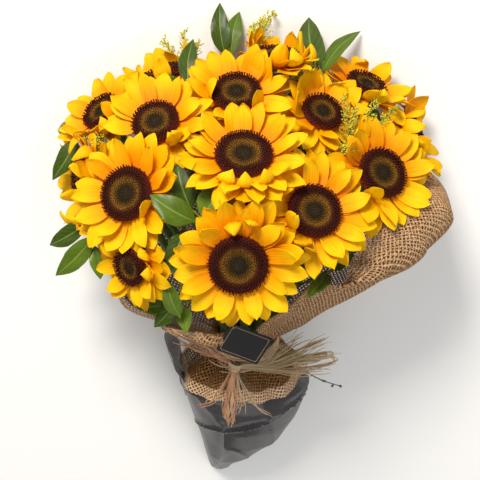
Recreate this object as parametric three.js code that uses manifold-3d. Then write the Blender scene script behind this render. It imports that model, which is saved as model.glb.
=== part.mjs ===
// A hand-tied bunch of sunflowers in a burlap wrap with a raffia tie and a film bag on its stems,
// lying on its back. Millimetres, +Z up, resting on Z = 0.
import * as THREE from 'three';
import { mergeVertices } from 'three/addons/utils/BufferGeometryUtils.js';
import Module from 'manifold-3d';

const wasm = await Module();
wasm.setup();

// Driving dimensions.
// The bunch has its own directions: u to the right, v up its stems and w to its front. The tie is at 0.
const RISE = THREE.MathUtils.degToRad(20.3);   // slope of the stems above the surface, heads up
const TIE_HEIGHT = 94;                         // height of the tie's middle above the surface
const GAP = 0.4;                               // clearance between pieces that touch
const FACE_TURN = THREE.MathUtils.degToRad(38); // the dome of heads faces this far forward of the stems
const DOME_HEIGHT = 183.6;                     // from the tie up to the middle of the dome
const DOME_FORWARD = 15;
const DOME_RADIUS = 320;                       // the dome is this round
const HUB_SHARE = 0.4;                         // a petal hub's radius as a share of the disc's diameter
const HUB_DEPTH = 6.5;
const HUB_SIDES = 7;
const DISC_SIDES = 10;
const STEM_RADIUS = 4;
const STEM_SIDES = 6;
const CUP_DEPTH = 11;                          // of the green cup under a bloom
const WAIST_RADIUS = 25.5;                     // the stems where they are tied
const WAIST_SHARE = 0.112;                     // a stem's place at the tie as a share of its bloom's place
const CORE_SIDES = 10;
const CORE_TOP = 46;                           // height above the tie of the core that joins the stems
const TWIG_RADIUS = 1.5;
const BURLAP_THICK = 2.2;
const BURLAP_WAIST = 28.9;                     // middle of the burlap's sheet where it is tied
const BURLAP_SECTIONS = 30;
const FILM_THICK = 1.2;
const BAG_SIDES = 14;
const TIE_RADIUS = 32.2;                       // inside of the turns of raffia
const TIE_SECTIONS = 18;
const CARD_SIZE = [44, 36, 0.9];
const CARD_PLACE = [6, 52];
const PETAL_THICK = 1.9;
const PETAL_MAX_WIDTH = 18;
const LEAF_THICK = 1.7;
const SLIVER = 0.08;
const OVERLAP = 1e-3;                          // cubic millimetres that count as an overlap

// Each bloom: its place on the dome seen square on (right, up), how far it stands off the dome, how far
// and which way its face leans, its disc's diameter, petals in a layer, and their length past the disc.
const BLOOMS = [
  { name: 'bloom_01', at: [-7, -57], off: 14, tilt: 27, lean: -90, disc: 56, petals: 9, reach: 35 },
  { name: 'bloom_02', at: [-2, 43], off: 15, tilt: 23, lean: 90, disc: 55, petals: 9, reach: 35 },
  { name: 'bloom_03', at: [62, -7], off: 7, tilt: 12, lean: 9, disc: 52, petals: 9, reach: 35 },
  { name: 'bloom_04', at: [-110, 13], off: 8, tilt: 24, lean: 187, disc: 54, petals: 9, reach: 34 },
  { name: 'bloom_05', at: [128, 36], off: 4, tilt: 22, lean: 13, disc: 51, petals: 9, reach: 34 },
  { name: 'bloom_06', at: [-9, 113], off: 3, tilt: 22, lean: 90, disc: 49, petals: 9, reach: 34 },
  { name: 'bloom_07', at: [-85, 83], off: 8, tilt: 18, lean: 127, disc: 47, petals: 9, reach: 34 },
  { name: 'bloom_08', at: [-106, -52], off: -6, tilt: 46, lean: 216, disc: 37, petals: 7, reach: 25 },
  { name: 'bloom_09', at: [73, 98], off: -6, tilt: 25, lean: 48, disc: 42, petals: 8, reach: 31 },
  { name: 'bloom_10', at: [119, 134], off: -4, tilt: 44, lean: 62, disc: 42, petals: 7, reach: 31 },
  { name: 'bloom_11', at: [31, 157], off: 0, tilt: 46, lean: 85, disc: 44, petals: 7, reach: 30 },
  { name: 'bloom_12', at: [-141, 108], off: -10, tilt: 30, lean: 142, disc: 43, petals: 8, reach: 32 },
  { name: 'bloom_13', at: [-82, 145], off: -12, tilt: 44, lean: 113, disc: 44, petals: 7, reach: 30 },
  { name: 'bloom_14', at: [-158, 42], off: -26, tilt: 54, lean: 188, disc: 44, petals: 7, reach: 31 },
  { name: 'bloom_15', at: [164, 88], off: -16, tilt: 46, lean: 8, disc: 44, petals: 7, reach: 31 },
  { name: 'bloom_16', at: [-28, 146], off: -26, tilt: 54, lean: 98, disc: 42, petals: 6, reach: 28 },
  { name: 'bloom_17', at: [15, -5], off: -25, tilt: 12, lean: 90, disc: 38, petals: 6, reach: 22 },
];

// Leafy sprigs: each leaf from base to tip on the dome (right, up, off the dome), with its width.
const SPRIGS = [
  { name: 'leaf_sprig_left', foot: [-26, 8], leaves: [
    { base: [-166, 82, -6], tip: [-192, 44, -14], width: 22 },
    { base: [-168, 84, -14], tip: [-186, 116, -30], width: 20 }] },
  { name: 'leaf_sprig_lower_left', foot: [-24, -6], leaves: [
    { base: [-156, -2, -30], tip: [-196, -18, -34], width: 20 },
    { base: [-148, -16, -28], tip: [-188, -50, -30], width: 22 },
    { base: [-148, -24, -34], tip: [-142, -56, -40], width: 18 }] },
  { name: 'leaf_sprig_centre', foot: [-10, 2], leaves: [
    { base: [-50, -4, 2], tip: [-64, 38, 12], width: 20 },
    { base: [-46, -16, 4], tip: [-88, 8, 14], width: 20 },
    { base: [-40, -14, 6], tip: [-18, 14, 8], width: 22 }] },
  { name: 'leaf_sprig_front', foot: [-14, -10], leaves: [
    { base: [-58, -22, -2], tip: [-72, -56, -2], width: 19 },
    { base: [-62, -98, -20], tip: [-74, -64, -8], width: 17 }] },
  { name: 'leaf_sprig_top', foot: [-2, 30], leaves: [
    { base: [-20, 170, -22], tip: [-26, 202, -6], width: 17 },
    { base: [-14, 172, -20], tip: [-8, 198, 0], width: 15 }] },
  { name: 'leaf_sprig_top_left', foot: [-14, 20], leaves: [
    { base: [-56, 128, -8], tip: [-52, 170, 6], width: 17 },
    { base: [-62, 128, -10], tip: [-84, 138, 2], width: 13 }] },
  { name: 'leaf_sprig_top_right', foot: [16, 20], leaves: [
    { base: [72, 140, 0], tip: [64, 196, 0], width: 24 },
    { base: [74, 140, 2], tip: [114, 178, 2], width: 12 }] },
  { name: 'leaf_sprig_front_left', foot: [-18, -16], leaves: [
    { base: [-66, -80, -44], tip: [-88, -104, -40], width: 18 },
    { base: [-70, -82, -44], tip: [-104, -86, -36], width: 16 },
    { base: [-64, -84, -42], tip: [-56, -112, -30], width: 16 }] },
  { name: 'leaf_sprig_front_right', foot: [20, -14], leaves: [
    { base: [82, -52, -34], tip: [104, -40, -16], width: 17 },
    { base: [78, -54, -34], tip: [84, -78, -20], width: 17 }] },
];

// Sprays of goldenrod: plumes from a base to a tip on the dome (right, up, off the dome).
const SPRAYS = [
  { name: 'goldenrod_top_left', foot: [-18, 26], base: [-62, 150, -30],
    tips: [[-80, 178, -4], [-60, 182, 0], [-44, 166, 4]] },
  { name: 'goldenrod_top', foot: [4, 28], base: [8, 166, -10],
    tips: [[18, 198, -6], [28, 204, 2], [6, 190, 0]] },
  { name: 'goldenrod_upper_right', foot: [10, 24], base: [52, 126, -6],
    tips: [[54, 156, 4], [66, 146, 6], [44, 142, 8]] },
  { name: 'goldenrod_right', foot: [22, 10], base: [100, 62, -8],
    tips: [[94, 112, 12], [104, 96, 16], [150, 88, 12], [92, 54, 16]] },
  { name: 'goldenrod_left', foot: [-24, 18], base: [-132, 66, -14],
    tips: [[-158, 82, 2], [-146, 72, 8]] },
];

// The burlap's upper edge all round: direction in degrees (0 right, 90 front), radius and height where
// it turns over, and how far it turns over: 1 is the wide flap at the right, 0 the narrow rolled edge.
const RIM = [
  [-180, 115, 56, 0], [-150, 132, 86, 0], [-120, 145, 112, 0], [-90, 150, 122, 0], [-60, 172, 128, 0],
  [-40, 190, 130, 0.3], [-20, 205, 125, 0.6], [-5, 200, 118, 0.8], [5, 168, 105, 0.8], [12, 125, 80, 0.1],
  [22, 104, 88, 0], [40, 84, 98, 0], [60, 72, 72, 0], [90, 62, 50, 0], [126, 74, 52, 0],
  [150, 100, 56, 0], [180, 115, 56, 0],
];

// The film bag at stations down the stems: height, left and right edges, half depth and its middle.
const BAG = [
  [-1, -27.4, 27.4, 27.4, 0], [-12, -29.6, 29.6, 28.6, 0], [-34, -40, 40, 32, -1], [-52, -56, 58, 36, -2],
  [-70, -72, 73, 40, -3], [-90, -62, 75, 41, -4], [-125, -51, 64, 38, -6], [-158, -43, 51, 33, -8],
  [-190, -37, 20, 24, -9], [-212, -31, -2, 13, -10], [-222, -26, -12, 6, -11],
];

const COLOURS = {
  petal: 0xffc014, disc: 0x4a1c0c, stem: 0x5f7a35, leaf: 0x2f5a26, goldenrod: 0xb9b326,
  burlap: 0xa98763, film: 0x6f6a70, raffia: 0xc79a78, card: 0x1d1613, twig: 0x55605a,
};

// A small random generator with a fixed seed, so that the bunch is always the same.
function randomFrom(seed) {
  let state = seed;
  return () => {
    state = (state + 0x6d2b79f5) | 0;
    let t = Math.imul(state ^ (state >>> 15), 1 | state);
    t = (t + Math.imul(t ^ (t >>> 7), 61 | t)) ^ t;
    return ((t ^ (t >>> 14)) >>> 0) / 4294967296;
  };
}

// Directions of the bunch as it lies, and a point given in them.
const RIGHT = new THREE.Vector3(1, 0, 0);
const ALONG = new THREE.Vector3(0, Math.cos(RISE), Math.sin(RISE));
const FRONT = new THREE.Vector3(0, -Math.sin(RISE), Math.cos(RISE));

function place(u, v, w) {
  return new THREE.Vector3(0, 0, TIE_HEIGHT)
    .addScaledVector(RIGHT, u).addScaledVector(ALONG, v).addScaledVector(FRONT, w);
}

const OUT = ALONG.clone().multiplyScalar(Math.cos(FACE_TURN)).addScaledVector(FRONT, Math.sin(FACE_TURN));
const UP = ALONG.clone().multiplyScalar(Math.sin(FACE_TURN)).addScaledVector(FRONT, -Math.cos(FACE_TURN));
const DOME_TOP = place(0, DOME_HEIGHT, DOME_FORWARD);

function onDome(right, up, off) {
  const fall = (right * right + up * up) / (2 * DOME_RADIUS);
  return DOME_TOP.clone().addScaledVector(RIGHT, right).addScaledVector(UP, up)
    .addScaledVector(OUT, off - fall);
}

// Solids.
function solidOf(geometry) {
  const bare = geometry.clone();
  for (const name of Object.keys(bare.attributes)) {
    if (name !== 'position') bare.deleteAttribute(name);
  }
  const merged = mergeVertices(bare, 1e-4);
  const mesh = new wasm.Mesh({
    numProp: 3,
    vertProperties: new Float32Array(merged.attributes.position.array),
    triVerts: new Uint32Array(merged.index.array),
  });
  return new wasm.Manifold(mesh);
}

function geometryOf(solid) {
  const mesh = solid.getMesh();
  const geometry = new THREE.BufferGeometry();
  geometry.setAttribute('position', new THREE.BufferAttribute(new Float32Array(mesh.vertProperties), 3));
  geometry.setIndex(new THREE.BufferAttribute(new Uint32Array(mesh.triVerts), 1));
  return geometry;
}

// One solid of several, less the slivers that the join leaves.
function fuse(solids) {
  return solids.reduce((whole, piece) => whole.add(piece)).asOriginal().simplify(SLIVER);
}

// The largest body of a solid; loose scraps are dropped.
function wholeBody(solid) {
  const bodies = solid.decompose();
  return bodies.reduce((best, body) => (body.volume() > best.volume() ? body : best));
}

// A closed skin over rings of points, all alike in number; a ring of one point closes to a tip.
function skin(rings) {
  const points = [];
  const starts = rings.map((ring) => {
    const start = points.length;
    points.push(...ring);
    return start;
  });
  const faces = [];
  for (let i = 0; i + 1 < rings.length; i += 1) {
    const [a, b] = [starts[i], starts[i + 1]];
    const [m, n] = [rings[i].length, rings[i + 1].length];
    for (let k = 0; k < Math.max(m, n); k += 1) {
      const next = (k + 1) % Math.max(m, n);
      if (m > 1) faces.push([a + k, a + next, b + (n > 1 ? next : 0)]);
      if (n > 1) faces.push([a + (m > 1 ? k : 0), b + next, b + k]);
    }
  }
  const count = rings[0].length;
  for (let k = 1; k + 1 < count; k += 1) faces.push([0, k + 1, k]);
  const last = starts[rings.length - 1];
  for (let k = 1; k + 1 < rings[rings.length - 1].length; k += 1) faces.push([last, last + k, last + k + 1]);
  const geometry = new THREE.BufferGeometry().setFromPoints(points);
  geometry.setIndex(faces.flat());
  return geometry;
}

function outward(geometry) {
  const solid = solidOf(geometry);
  if (solid.volume() > 0) return solid;
  const index = geometry.index.array;
  for (let i = 0; i < index.length; i += 3) [index[i], index[i + 1]] = [index[i + 1], index[i]];
  return solidOf(geometry);
}

// A thin blade with a keel under its middle: at each station a middle, a sideways and an upward
// direction, half its width and its thickness. Its last station is a tip.
function blade(stations, grow = 0) {
  const rings = stations.map(({ middle, side, up, half, thick }, i) => {
    if (i === stations.length - 1) return [middle.clone()];
    const at = (across, rise) => middle.clone().addScaledVector(side, across).addScaledVector(up, rise);
    return [at(-half - grow, thick / 2 + grow), at(0, -thick / 2 - grow), at(half + grow, thick / 2 + grow)];
  });
  return outward(skin(rings));
}

function tube(points, radius, sides, steps) {
  const section = new THREE.Shape();
  for (let k = 0; k < sides; k += 1) {
    const turn = (k / sides) * 2 * Math.PI;
    const [x, y] = [radius * Math.cos(turn), radius * Math.sin(turn)];
    if (k === 0) section.moveTo(x, y);
    else section.lineTo(x, y);
  }
  section.closePath();
  const path = new THREE.CatmullRomCurve3(points, false, 'centripetal');
  return solidOf(new THREE.ExtrudeGeometry(section, { steps, bevelEnabled: false, extrudePath: path }));
}

// A turned form in a bloom's own frame, from a profile of radius and height, with a radius factor.
function turned(frame, profile, sides, factor = () => 1) {
  const rings = profile.map(([radius, height], level) => {
    if (radius === 0) return [frame.point(0, 0, height)];
    return Array.from({ length: sides }, (_, k) => {
      const turn = (k / sides) * 2 * Math.PI;
      return frame.point(turn, radius * factor(turn, level, k), height);
    });
  });
  return outward(skin(rings));
}

// Blooms.
function bloomFrame(bloom) {
  const tilt = THREE.MathUtils.degToRad(bloom.tilt);
  const lean = THREE.MathUtils.degToRad(bloom.lean);
  const normal = OUT.clone().multiplyScalar(Math.cos(tilt))
    .addScaledVector(RIGHT, Math.sin(tilt) * Math.cos(lean))
    .addScaledVector(UP, Math.sin(tilt) * Math.sin(lean));
  const across = RIGHT.clone().addScaledVector(normal, -RIGHT.dot(normal)).normalize();
  const over = new THREE.Vector3().crossVectors(normal, across);
  const centre = onDome(bloom.at[0], bloom.at[1], bloom.off);
  const radial = (turn) => across.clone().multiplyScalar(Math.cos(turn)).addScaledVector(over, Math.sin(turn));
  const point = (turn, radius, height) => centre.clone()
    .addScaledVector(radial(turn), radius).addScaledVector(normal, height);
  return { centre, normal, radial, point };
}

function hubOf(bloom, frame) {
  const radius = bloom.disc * HUB_SHARE;
  return turned(frame, [[radius, -HUB_DEPTH], [radius, 0]], HUB_SIDES);
}

// The disc: ragged ring florets outside, a dip, and a low mound of fine florets in the middle.
function discOf(bloom, frame) {
  const radius = bloom.disc / 2;
  const profile = [[radius * 0.78, GAP], [radius, 5], [radius * 0.84, 8.4], [radius * 0.5, 6.6], [0, 8]];
  const ragged = (turn, level, k) => (level === 1 || level === 2 ? 1 + (k % 2 ? 0.03 : -0.05) : 1);
  return turned(frame, profile, DISC_SIDES, ragged);
}

// A petal's rise from flat at the rim of the hub to its tip, its sideways turn and its length.
function petalOf(bloom, frame, turn, shape, grow) {
  const root = 6;
  const start = bloom.disc * HUB_SHARE - root;
  const radial = frame.radial(turn);
  const side = new THREE.Vector3().crossVectors(frame.normal, radial);
  const total = bloom.disc * (0.5 - HUB_SHARE) + root + bloom.reach * shape.length;
  const stations = [];
  let across = start;
  let height = shape.level;
  let drift = 0;
  let before = 0;
  const outline = [[0, 0.3, 2], [0.45, 1, PETAL_THICK], [0.8, 0.68, PETAL_THICK], [1, 0, 0]];
  for (const [part, width, thick] of outline) {
    const steps = 4;
    for (let i = 0; i < steps && part > 0; i += 1) {
      const here = before + ((part - before) * (i + 0.5)) / steps;
      const rise = shape.rise * Math.min(1, Math.max(0, (here - 0.12) / 0.45)) + shape.first;
      const step = (total * (part - before)) / steps;
      across += Math.cos(rise) * step;
      height += Math.sin(rise) * step;
      drift += Math.sin(shape.turn) * step * here;
    }
    const rise = shape.rise * Math.min(1, Math.max(0, (part - 0.12) / 0.45)) + shape.first;
    const roll = shape.roll * part;
    const up = frame.normal.clone().multiplyScalar(Math.cos(rise)).addScaledVector(radial, -Math.sin(rise));
    const turnedSide = side.clone().multiplyScalar(Math.cos(roll)).addScaledVector(up, Math.sin(roll));
    const turnedUp = up.clone().multiplyScalar(Math.cos(roll)).addScaledVector(side, -Math.sin(roll));
    const past = part === 1 ? grow : 0;
    const middle = frame.centre.clone().addScaledVector(radial, across + past * Math.cos(rise))
      .addScaledVector(frame.normal, height + past * Math.sin(rise)).addScaledVector(side, drift);
    stations.push({ middle, side: turnedSide, up: turnedUp, half: (width * shape.width) / 2, thick });
    before = part;
  }
  return blade(stations, grow);
}

// Obstacles that later pieces are bent clear of.
const placed = [];

function boxOf(solid) {
  const { min, max } = solid.boundingBox();
  return new THREE.Box3(new THREE.Vector3(...min), new THREE.Vector3(...max));
}

function addObstacle(owner, solid) {
  placed.push({ owner, solid, box: boxOf(solid) });
}

function isClear(solid, owner = '') {
  const box = boxOf(solid);
  return placed.every((other) => other.owner === owner || !box.intersectsBox(other.box)
    || solid.intersect(other.solid).volume() < OVERLAP);
}

const parts = [];

function addPart(name, solid, colour, roughness = 0.7, extra = {}) {
  const material = new THREE.MeshStandardMaterial({ color: colour, roughness, metalness: 0, ...extra });
  const mesh = new THREE.Mesh(geometryOf(solid), material);
  mesh.name = name;
  parts.push(mesh);
}

// The stems: each from the green cup under its bloom, whose rim is cut into pointed bracts, down
// through the tie to its cut end in the bag, in one bundle with a core that holds them together.
function stemPath(bloom, frame, random) {
  const [u, w] = [bloom.at[0] * WAIST_SHARE, -bloom.at[1] * WAIST_SHARE * 0.9 + 4];
  const neck = frame.point(0, 0, -HUB_DEPTH - CUP_DEPTH - 7);
  const below = frame.point(0, 0, -HUB_DEPTH - CUP_DEPTH - 23).lerp(place(u * 4, 70, w * 4), 0.16);
  const spread = Math.hypot(u, w) / 24;
  const end = place(u * 1.25 - 8, -182 + 44 * spread + 10 * random(), w * 0.75 - 8);
  const points = [neck, below, place(u * 3, 66, w * 3), place(u, 0, w), end];
  return new THREE.CatmullRomCurve3(points, false, 'centripetal');
}

function stemOf(bloom, frame, random) {
  const radius = bloom.disc * HUB_SHARE;
  const top = -HUB_DEPTH - GAP;
  const cup = [[radius * 0.9, top], [radius + 5, top - 2.6], [radius * 0.6, top - CUP_DEPTH]];
  const rings = cup.map(([size, height], level) => Array.from({ length: STEM_SIDES }, (_, k) => {
    const bract = level === 1 && k % 2 ? 0.8 : 1;
    return frame.point((k / STEM_SIDES) * 2 * Math.PI, size * bract, height);
  }));
  const path = stemPath(bloom, frame, random);
  let across = frame.radial(0);
  const steps = 4;
  for (let i = 0; i <= steps; i += 1) {
    const tangent = path.getTangent(i / steps).negate();
    across = across.clone().addScaledVector(tangent, -tangent.dot(across)).normalize();
    const over = new THREE.Vector3().crossVectors(tangent, across);
    const middle = path.getPoint(i / steps);
    rings.push(Array.from({ length: STEM_SIDES }, (_, k) => {
      const turn = (k / STEM_SIDES) * 2 * Math.PI;
      return middle.clone().addScaledVector(across, STEM_RADIUS * Math.cos(turn))
        .addScaledVector(over, STEM_RADIUS * Math.sin(turn));
    }));
  }
  return outward(skin(rings));
}

function coreOf() {
  const levels = [[-62, 17], [-24, 23], [0, WAIST_RADIUS - 0.5], [CORE_TOP, 37]];
  const rings = levels.map(([along, radius]) => Array.from({ length: CORE_SIDES }, (_, k) => {
    const turn = (k / CORE_SIDES) * 2 * Math.PI;
    return place(radius * Math.cos(turn), along, radius * Math.sin(turn));
  }));
  return outward(skin(rings));
}

const frames = new Map(BLOOMS.map((bloom) => [bloom.name, bloomFrame(bloom)]));
const stemRandom = randomFrom(11);
const greens = [coreOf()];
for (const bloom of BLOOMS) {
  const frame = frames.get(bloom.name);
  greens.push(stemOf(bloom, frame, stemRandom));
}
for (const green of greens) addObstacle('stems_and_calyces', green);
addPart('stems_and_calyces', wholeBody(fuse(greens)), COLOURS.stem);

for (const bloom of BLOOMS) {
  const frame = frames.get(bloom.name);
  bloom.hub = hubOf(bloom, frame);
  bloom.face = discOf(bloom, frame);
  addObstacle(bloom.name, bloom.hub);
  addObstacle(`${bloom.name}_disc`, bloom.face);
}

// The burlap: one sheet from the hem of its skirt through the waist to its turned-over upper edge.
function rimAt(turn) {
  const degrees = THREE.MathUtils.radToDeg(turn);
  const after = RIM.findIndex(([angle]) => angle >= degrees - 1e-9);
  const [a, b] = [RIM[Math.max(after - 1, 0)], RIM[Math.max(after, 1)]];
  const t = THREE.MathUtils.smoothstep(degrees, a[0], b[0]);
  return a.map((value, i) => THREE.MathUtils.lerp(value, b[i], t));
}

function burlapSection(turn) {
  const [, radius, height, flap] = rimAt(turn);
  const wide = 66 * Math.cos(turn) ** 2 + 50 * Math.sin(turn) ** 2;
  const lobe = 5 * Math.cos(3 * turn + 0.6) + 3 * Math.cos(7 * turn);
  const section = [
    [wide + lobe * 0.6, -50 + lobe], [wide * 0.86, -36 + lobe * 0.5], [wide * 0.64 + 2, -20],
    [BURLAP_WAIST + 1, -7], [BURLAP_WAIST + 0.6, 6],
  ];
  for (const part of [0.25, 0.55, 0.8, 1]) {
    const bulge = 1 + 0.045 * Math.sin(6 * turn + 1) * part * (1 - flap);
    section.push([(BURLAP_WAIST + (radius - BURLAP_WAIST) * part ** 1.08) * bulge, 6 + (height - 6) * part]);
  }
  const [last] = section.slice(-1);
  const turnedIn = [[14, 24], [2, 44], [-28, 52], [-56, 48]];
  const rolled = [[5, 3], [9, 0], [9, -6], [4, -10]];
  const straight = [[2, 1.6], [4, 3.2], [6, 4.8], [8, 6.4]];
  const fromBack = Math.abs(THREE.MathUtils.radToDeg(turn) + 90);
  const roll = THREE.MathUtils.smoothstep(fromBack, 36, 58);
  for (let i = 0; i < turnedIn.length; i += 1) {
    const edge = [0, 1].map((k) => THREE.MathUtils.lerp(straight[i][k], rolled[i][k], roll));
    section.push([0, 1].map((k) => last[k] + THREE.MathUtils.lerp(edge[k], turnedIn[i][k], flap)));
  }
  return section;
}

function burlapOf() {
  return Array.from({ length: BURLAP_SECTIONS }, (_, k) => {
    const turn = -Math.PI + (k / BURLAP_SECTIONS) * 2 * Math.PI;
    const middle = burlapSection(turn);
    const offset = (sign) => middle.map(([radius, height], i) => {
      const [before, after] = [middle[Math.max(i - 1, 0)], middle[Math.min(i + 1, middle.length - 1)]];
      const [dr, dh] = [after[0] - before[0], after[1] - before[1]];
      const shift = (sign * BURLAP_THICK) / 2 / Math.hypot(dr, dh);
      const [r, h] = [radius + dh * shift, height - dr * shift];
      return place(r * Math.cos(turn), h, r * Math.sin(turn));
    });
    return [...offset(1), ...offset(-1).reverse()];
  });
}

// A closed ring of sections, each a closed loop of points.
function loopSkin(sections) {
  const count = sections[0].length;
  const faces = [];
  sections.forEach((_, i) => {
    const [a, b] = [i * count, ((i + 1) % sections.length) * count];
    for (let k = 0; k < count; k += 1) {
      const next = (k + 1) % count;
      faces.push([a + k, a + next, b + next], [a + k, b + next, b + k]);
    }
  });
  const geometry = new THREE.BufferGeometry().setFromPoints(sections.flat());
  geometry.setIndex(faces.flat());
  return geometry;
}

// What would go below the surface is pressed flat on it: the outer face to the surface, the inner
// face to the sheet's thickness above it.
function pressFlat(points, isOuter, thick) {
  points.forEach((point, i) => {
    const floor = isOuter(i) ? 0 : thick;
    if (point.z < floor) point.z = floor;
  });
}

const burlapSections = burlapOf();
for (const section of burlapSections) {
  const half = section.length / 2;
  pressFlat(section, (i) => i < half, BURLAP_THICK);
}
const burlap = outward(loopSkin(burlapSections));
addObstacle('burlap_wrap', burlap);
addPart('burlap_wrap', burlap, COLOURS.burlap, 0.95);

// The film bag: a shell open at the tie, closed at its folded end.
function bagRing(station, inset) {
  const [height, left, right, depth, middle] = station;
  const [centre, half] = [(left + right) / 2, (right - left) / 2];
  return Array.from({ length: BAG_SIDES }, (_, k) => {
    const turn = (k / BAG_SIDES) * 2 * Math.PI;
    const across = (half - inset) * Math.cos(turn);
    const flat = 0.18 * Math.min(1, -height / 60);
    const deep = (depth - inset) * Math.sin(turn) * (1 - flat * (1 - Math.abs(Math.sin(turn))));
    return place(centre + across, height, middle + deep);
  });
}

function bagOf() {
  const outer = BAG.map((station) => bagRing(station, 0));
  const inner = BAG.slice(0, -1).map((station) => bagRing(station, FILM_THICK)).reverse();
  outer.forEach((ring) => pressFlat(ring, () => true, 0));
  inner.forEach((ring) => pressFlat(ring, () => false, FILM_THICK));
  return outward(skin([...inner, ...outer].reverse()));
}

const bag = bagOf();
addObstacle('film_bag', bag);
addPart('film_bag', bag, COLOURS.film, 0.2, { transparent: true, opacity: 0.6 });

// The raffia: turns round the waist as a ribbed ring, and a knot with its tails and loops.
function raffiaRing() {
  const profile = [
    [0, -7.2], [3, -7.6], [4.4, -5], [3.2, -3.4], [4.6, -1.2], [3.4, 0.6], [4.4, 2.8], [3, 5.2], [0, 5],
  ];
  const sections = Array.from({ length: TIE_SECTIONS }, (_, k) => {
    const turn = (k / TIE_SECTIONS) * 2 * Math.PI;
    return profile.map(([out, height]) => {
      const radius = TIE_RADIUS + out + (out > 0 ? 0.5 * Math.sin(k * 2.3 + height) : 0);
      return place(radius * Math.cos(turn), height, radius * Math.sin(turn));
    });
  });
  return outward(loopSkin(sections));
}

const KNOT = [-4, -1, 43];
const STRANDS = [
  // Tails of the tassel.
  { radius: 2, path: [[-8, -22, 50], [-11, -50, 63], [-12, -78, 62]] },
  { radius: 1.6, path: [[-4, -22, 51], [-4, -46, 63], [-5, -72, 64]] },
  { radius: 1.2, path: [[-12, -20, 48], [-26, -42, 58], [-40, -54, 58]] },
  { radius: 1.2, path: [[4, -20, 49], [18, -46, 62], [32, -66, 60]] },
  // Loops at the right.
  { radius: 1.6, path: [[24, 0, 46], [60, 2, 40], [90, -2, 30], [92, -10, 28], [60, -10, 36], [24, -6, 45]] },
  { radius: 1.6, path: [[24, 4, 47], [56, 12, 43], [84, 10, 36], [84, 4, 34], [56, 3, 41], [24, 0, 46]] },
  { radius: 1.3, path: [[22, -4, 46], [50, -14, 42], [80, -22, 34]] },
  // A turn that stands off at the left.
  { radius: 1.6, path: [[-24, 8, 42], [-46, 18, 43], [-68, 28, 38]] },
];

function raffiaBow() {
  const frame = {
    point: (turn, radius, height) => place(
      KNOT[0] + radius * Math.cos(turn), KNOT[1] + radius * Math.sin(turn) * 0.9, KNOT[2] + height),
  };
  const knot = turned(frame, [[4.5, -5.6], [8, -2], [7.5, 3], [4, 6]], 8);
  const strands = STRANDS.map(({ radius, path }) => {
    const points = [KNOT, ...path].map(([u, v, w]) => place(u, v, w));
    return tube(points, radius, 3, path.length > 4 ? 8 : 4);
  });
  return fuse([knot, ...strands]);
}

addPart('raffia_tie', raffiaRing(), COLOURS.raffia, 0.8);
addPart('raffia_bow', raffiaBow(), COLOURS.raffia, 0.8);

// The card: a thin rounded board that leans on the burlap's front edge.
function cardOf(forward) {
  const [width, height, thick] = CARD_SIZE;
  const corner = 2;
  const board = new THREE.Shape();
  board.moveTo(-width / 2 + corner, -height / 2);
  board.lineTo(width / 2 - corner, -height / 2);
  board.absarc(width / 2 - corner, -height / 2 + corner, corner, -Math.PI / 2, 0);
  board.absarc(width / 2 - corner, height / 2 - corner, corner, 0, Math.PI / 2);
  board.absarc(-width / 2 + corner, height / 2 - corner, corner, Math.PI / 2, Math.PI);
  board.absarc(-width / 2 + corner, -height / 2 + corner, corner, Math.PI, Math.PI * 1.5);
  const geometry = new THREE.ExtrudeGeometry(board, { depth: thick, bevelEnabled: false, curveSegments: 1 });
  const lean = 0.21;
  const facing = FRONT.clone().addScaledVector(ALONG, -lean).normalize();
  const upright = ALONG.clone().addScaledVector(FRONT, lean).normalize();
  const turn = THREE.MathUtils.degToRad(-26);
  const across = RIGHT.clone().multiplyScalar(Math.cos(turn)).addScaledVector(upright, Math.sin(turn));
  const over = new THREE.Vector3().crossVectors(facing, across);
  const basis = new THREE.Matrix4().makeBasis(across, over, facing).setPosition(place(...CARD_PLACE, forward));
  return solidOf(geometry.applyMatrix4(basis));
}

function seatedCard() {
  let forward = 62;
  while (cardOf(forward - GAP).intersect(burlap).volume() > 0) forward += 0.2;
  return cardOf(forward);
}

const card = seatedCard();
addObstacle('card', card);
addPart('card', card, COLOURS.card, 0.4);

// The dry twig that sticks out at the right, under the skirt.
function twigOf() {
  const stalk = tube([[44, -37, 2], [62, -50, 3], [82, -62, 6], [104, -68, 10]]
    .map(([u, v, w]) => place(u, v, w)), 1, 3, 5);
  const buds = [[84, -61, 8], [94, -68, 8], [102, -66, 11]].map(([u, v, w]) => {
    const centre = place(u, v, w);
    return solidOf(new THREE.OctahedronGeometry(2.6, 0).translate(...centre.toArray()));
  });
  return fuse([stalk, ...buds]);
}

addPart('dry_twig', wholeBody(twigOf()), COLOURS.twig, 0.9);

// Leafy sprigs and sprays of goldenrod: a stalk from the top of the core, then leaves or plumes.
// Tries one shape after another and keeps the first that is clear of everything placed so far.
function firstClear(tries, build, owner) {
  for (const attempt of tries) {
    const grown = build(attempt, GAP);
    if (boxOf(grown).min.z > 1 && isClear(grown, owner)) return build(attempt, 0);
  }
  return null;
}

function stalkPoints(foot, base, [swing, bow]) {
  const turn = THREE.MathUtils.degToRad(swing);
  const u = foot[0] * Math.cos(turn) - foot[1] * Math.sin(turn);
  const w = foot[0] * Math.sin(turn) + foot[1] * Math.cos(turn);
  const start = place(u, CORE_TOP + GAP, w);
  const rise = place(u * 1.15, CORE_TOP + 22, w * 1.15);
  const mid = rise.clone().lerp(base, 0.55).addScaledVector(RIGHT, bow[0]).addScaledVector(FRONT, bow[1]);
  return [start, rise, mid, base];
}

const STALK_TRIES = [];
for (const bow of [[0, 0], [9, 0], [-9, 0], [0, 9], [0, -9], [16, 12], [-16, 12], [16, -14], [-16, -14], [0, -24]]) {
  for (const swing of [0, 15, -15, 30, -30, 50, -50, 75, -75]) STALK_TRIES.push([swing, bow]);
}

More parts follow.
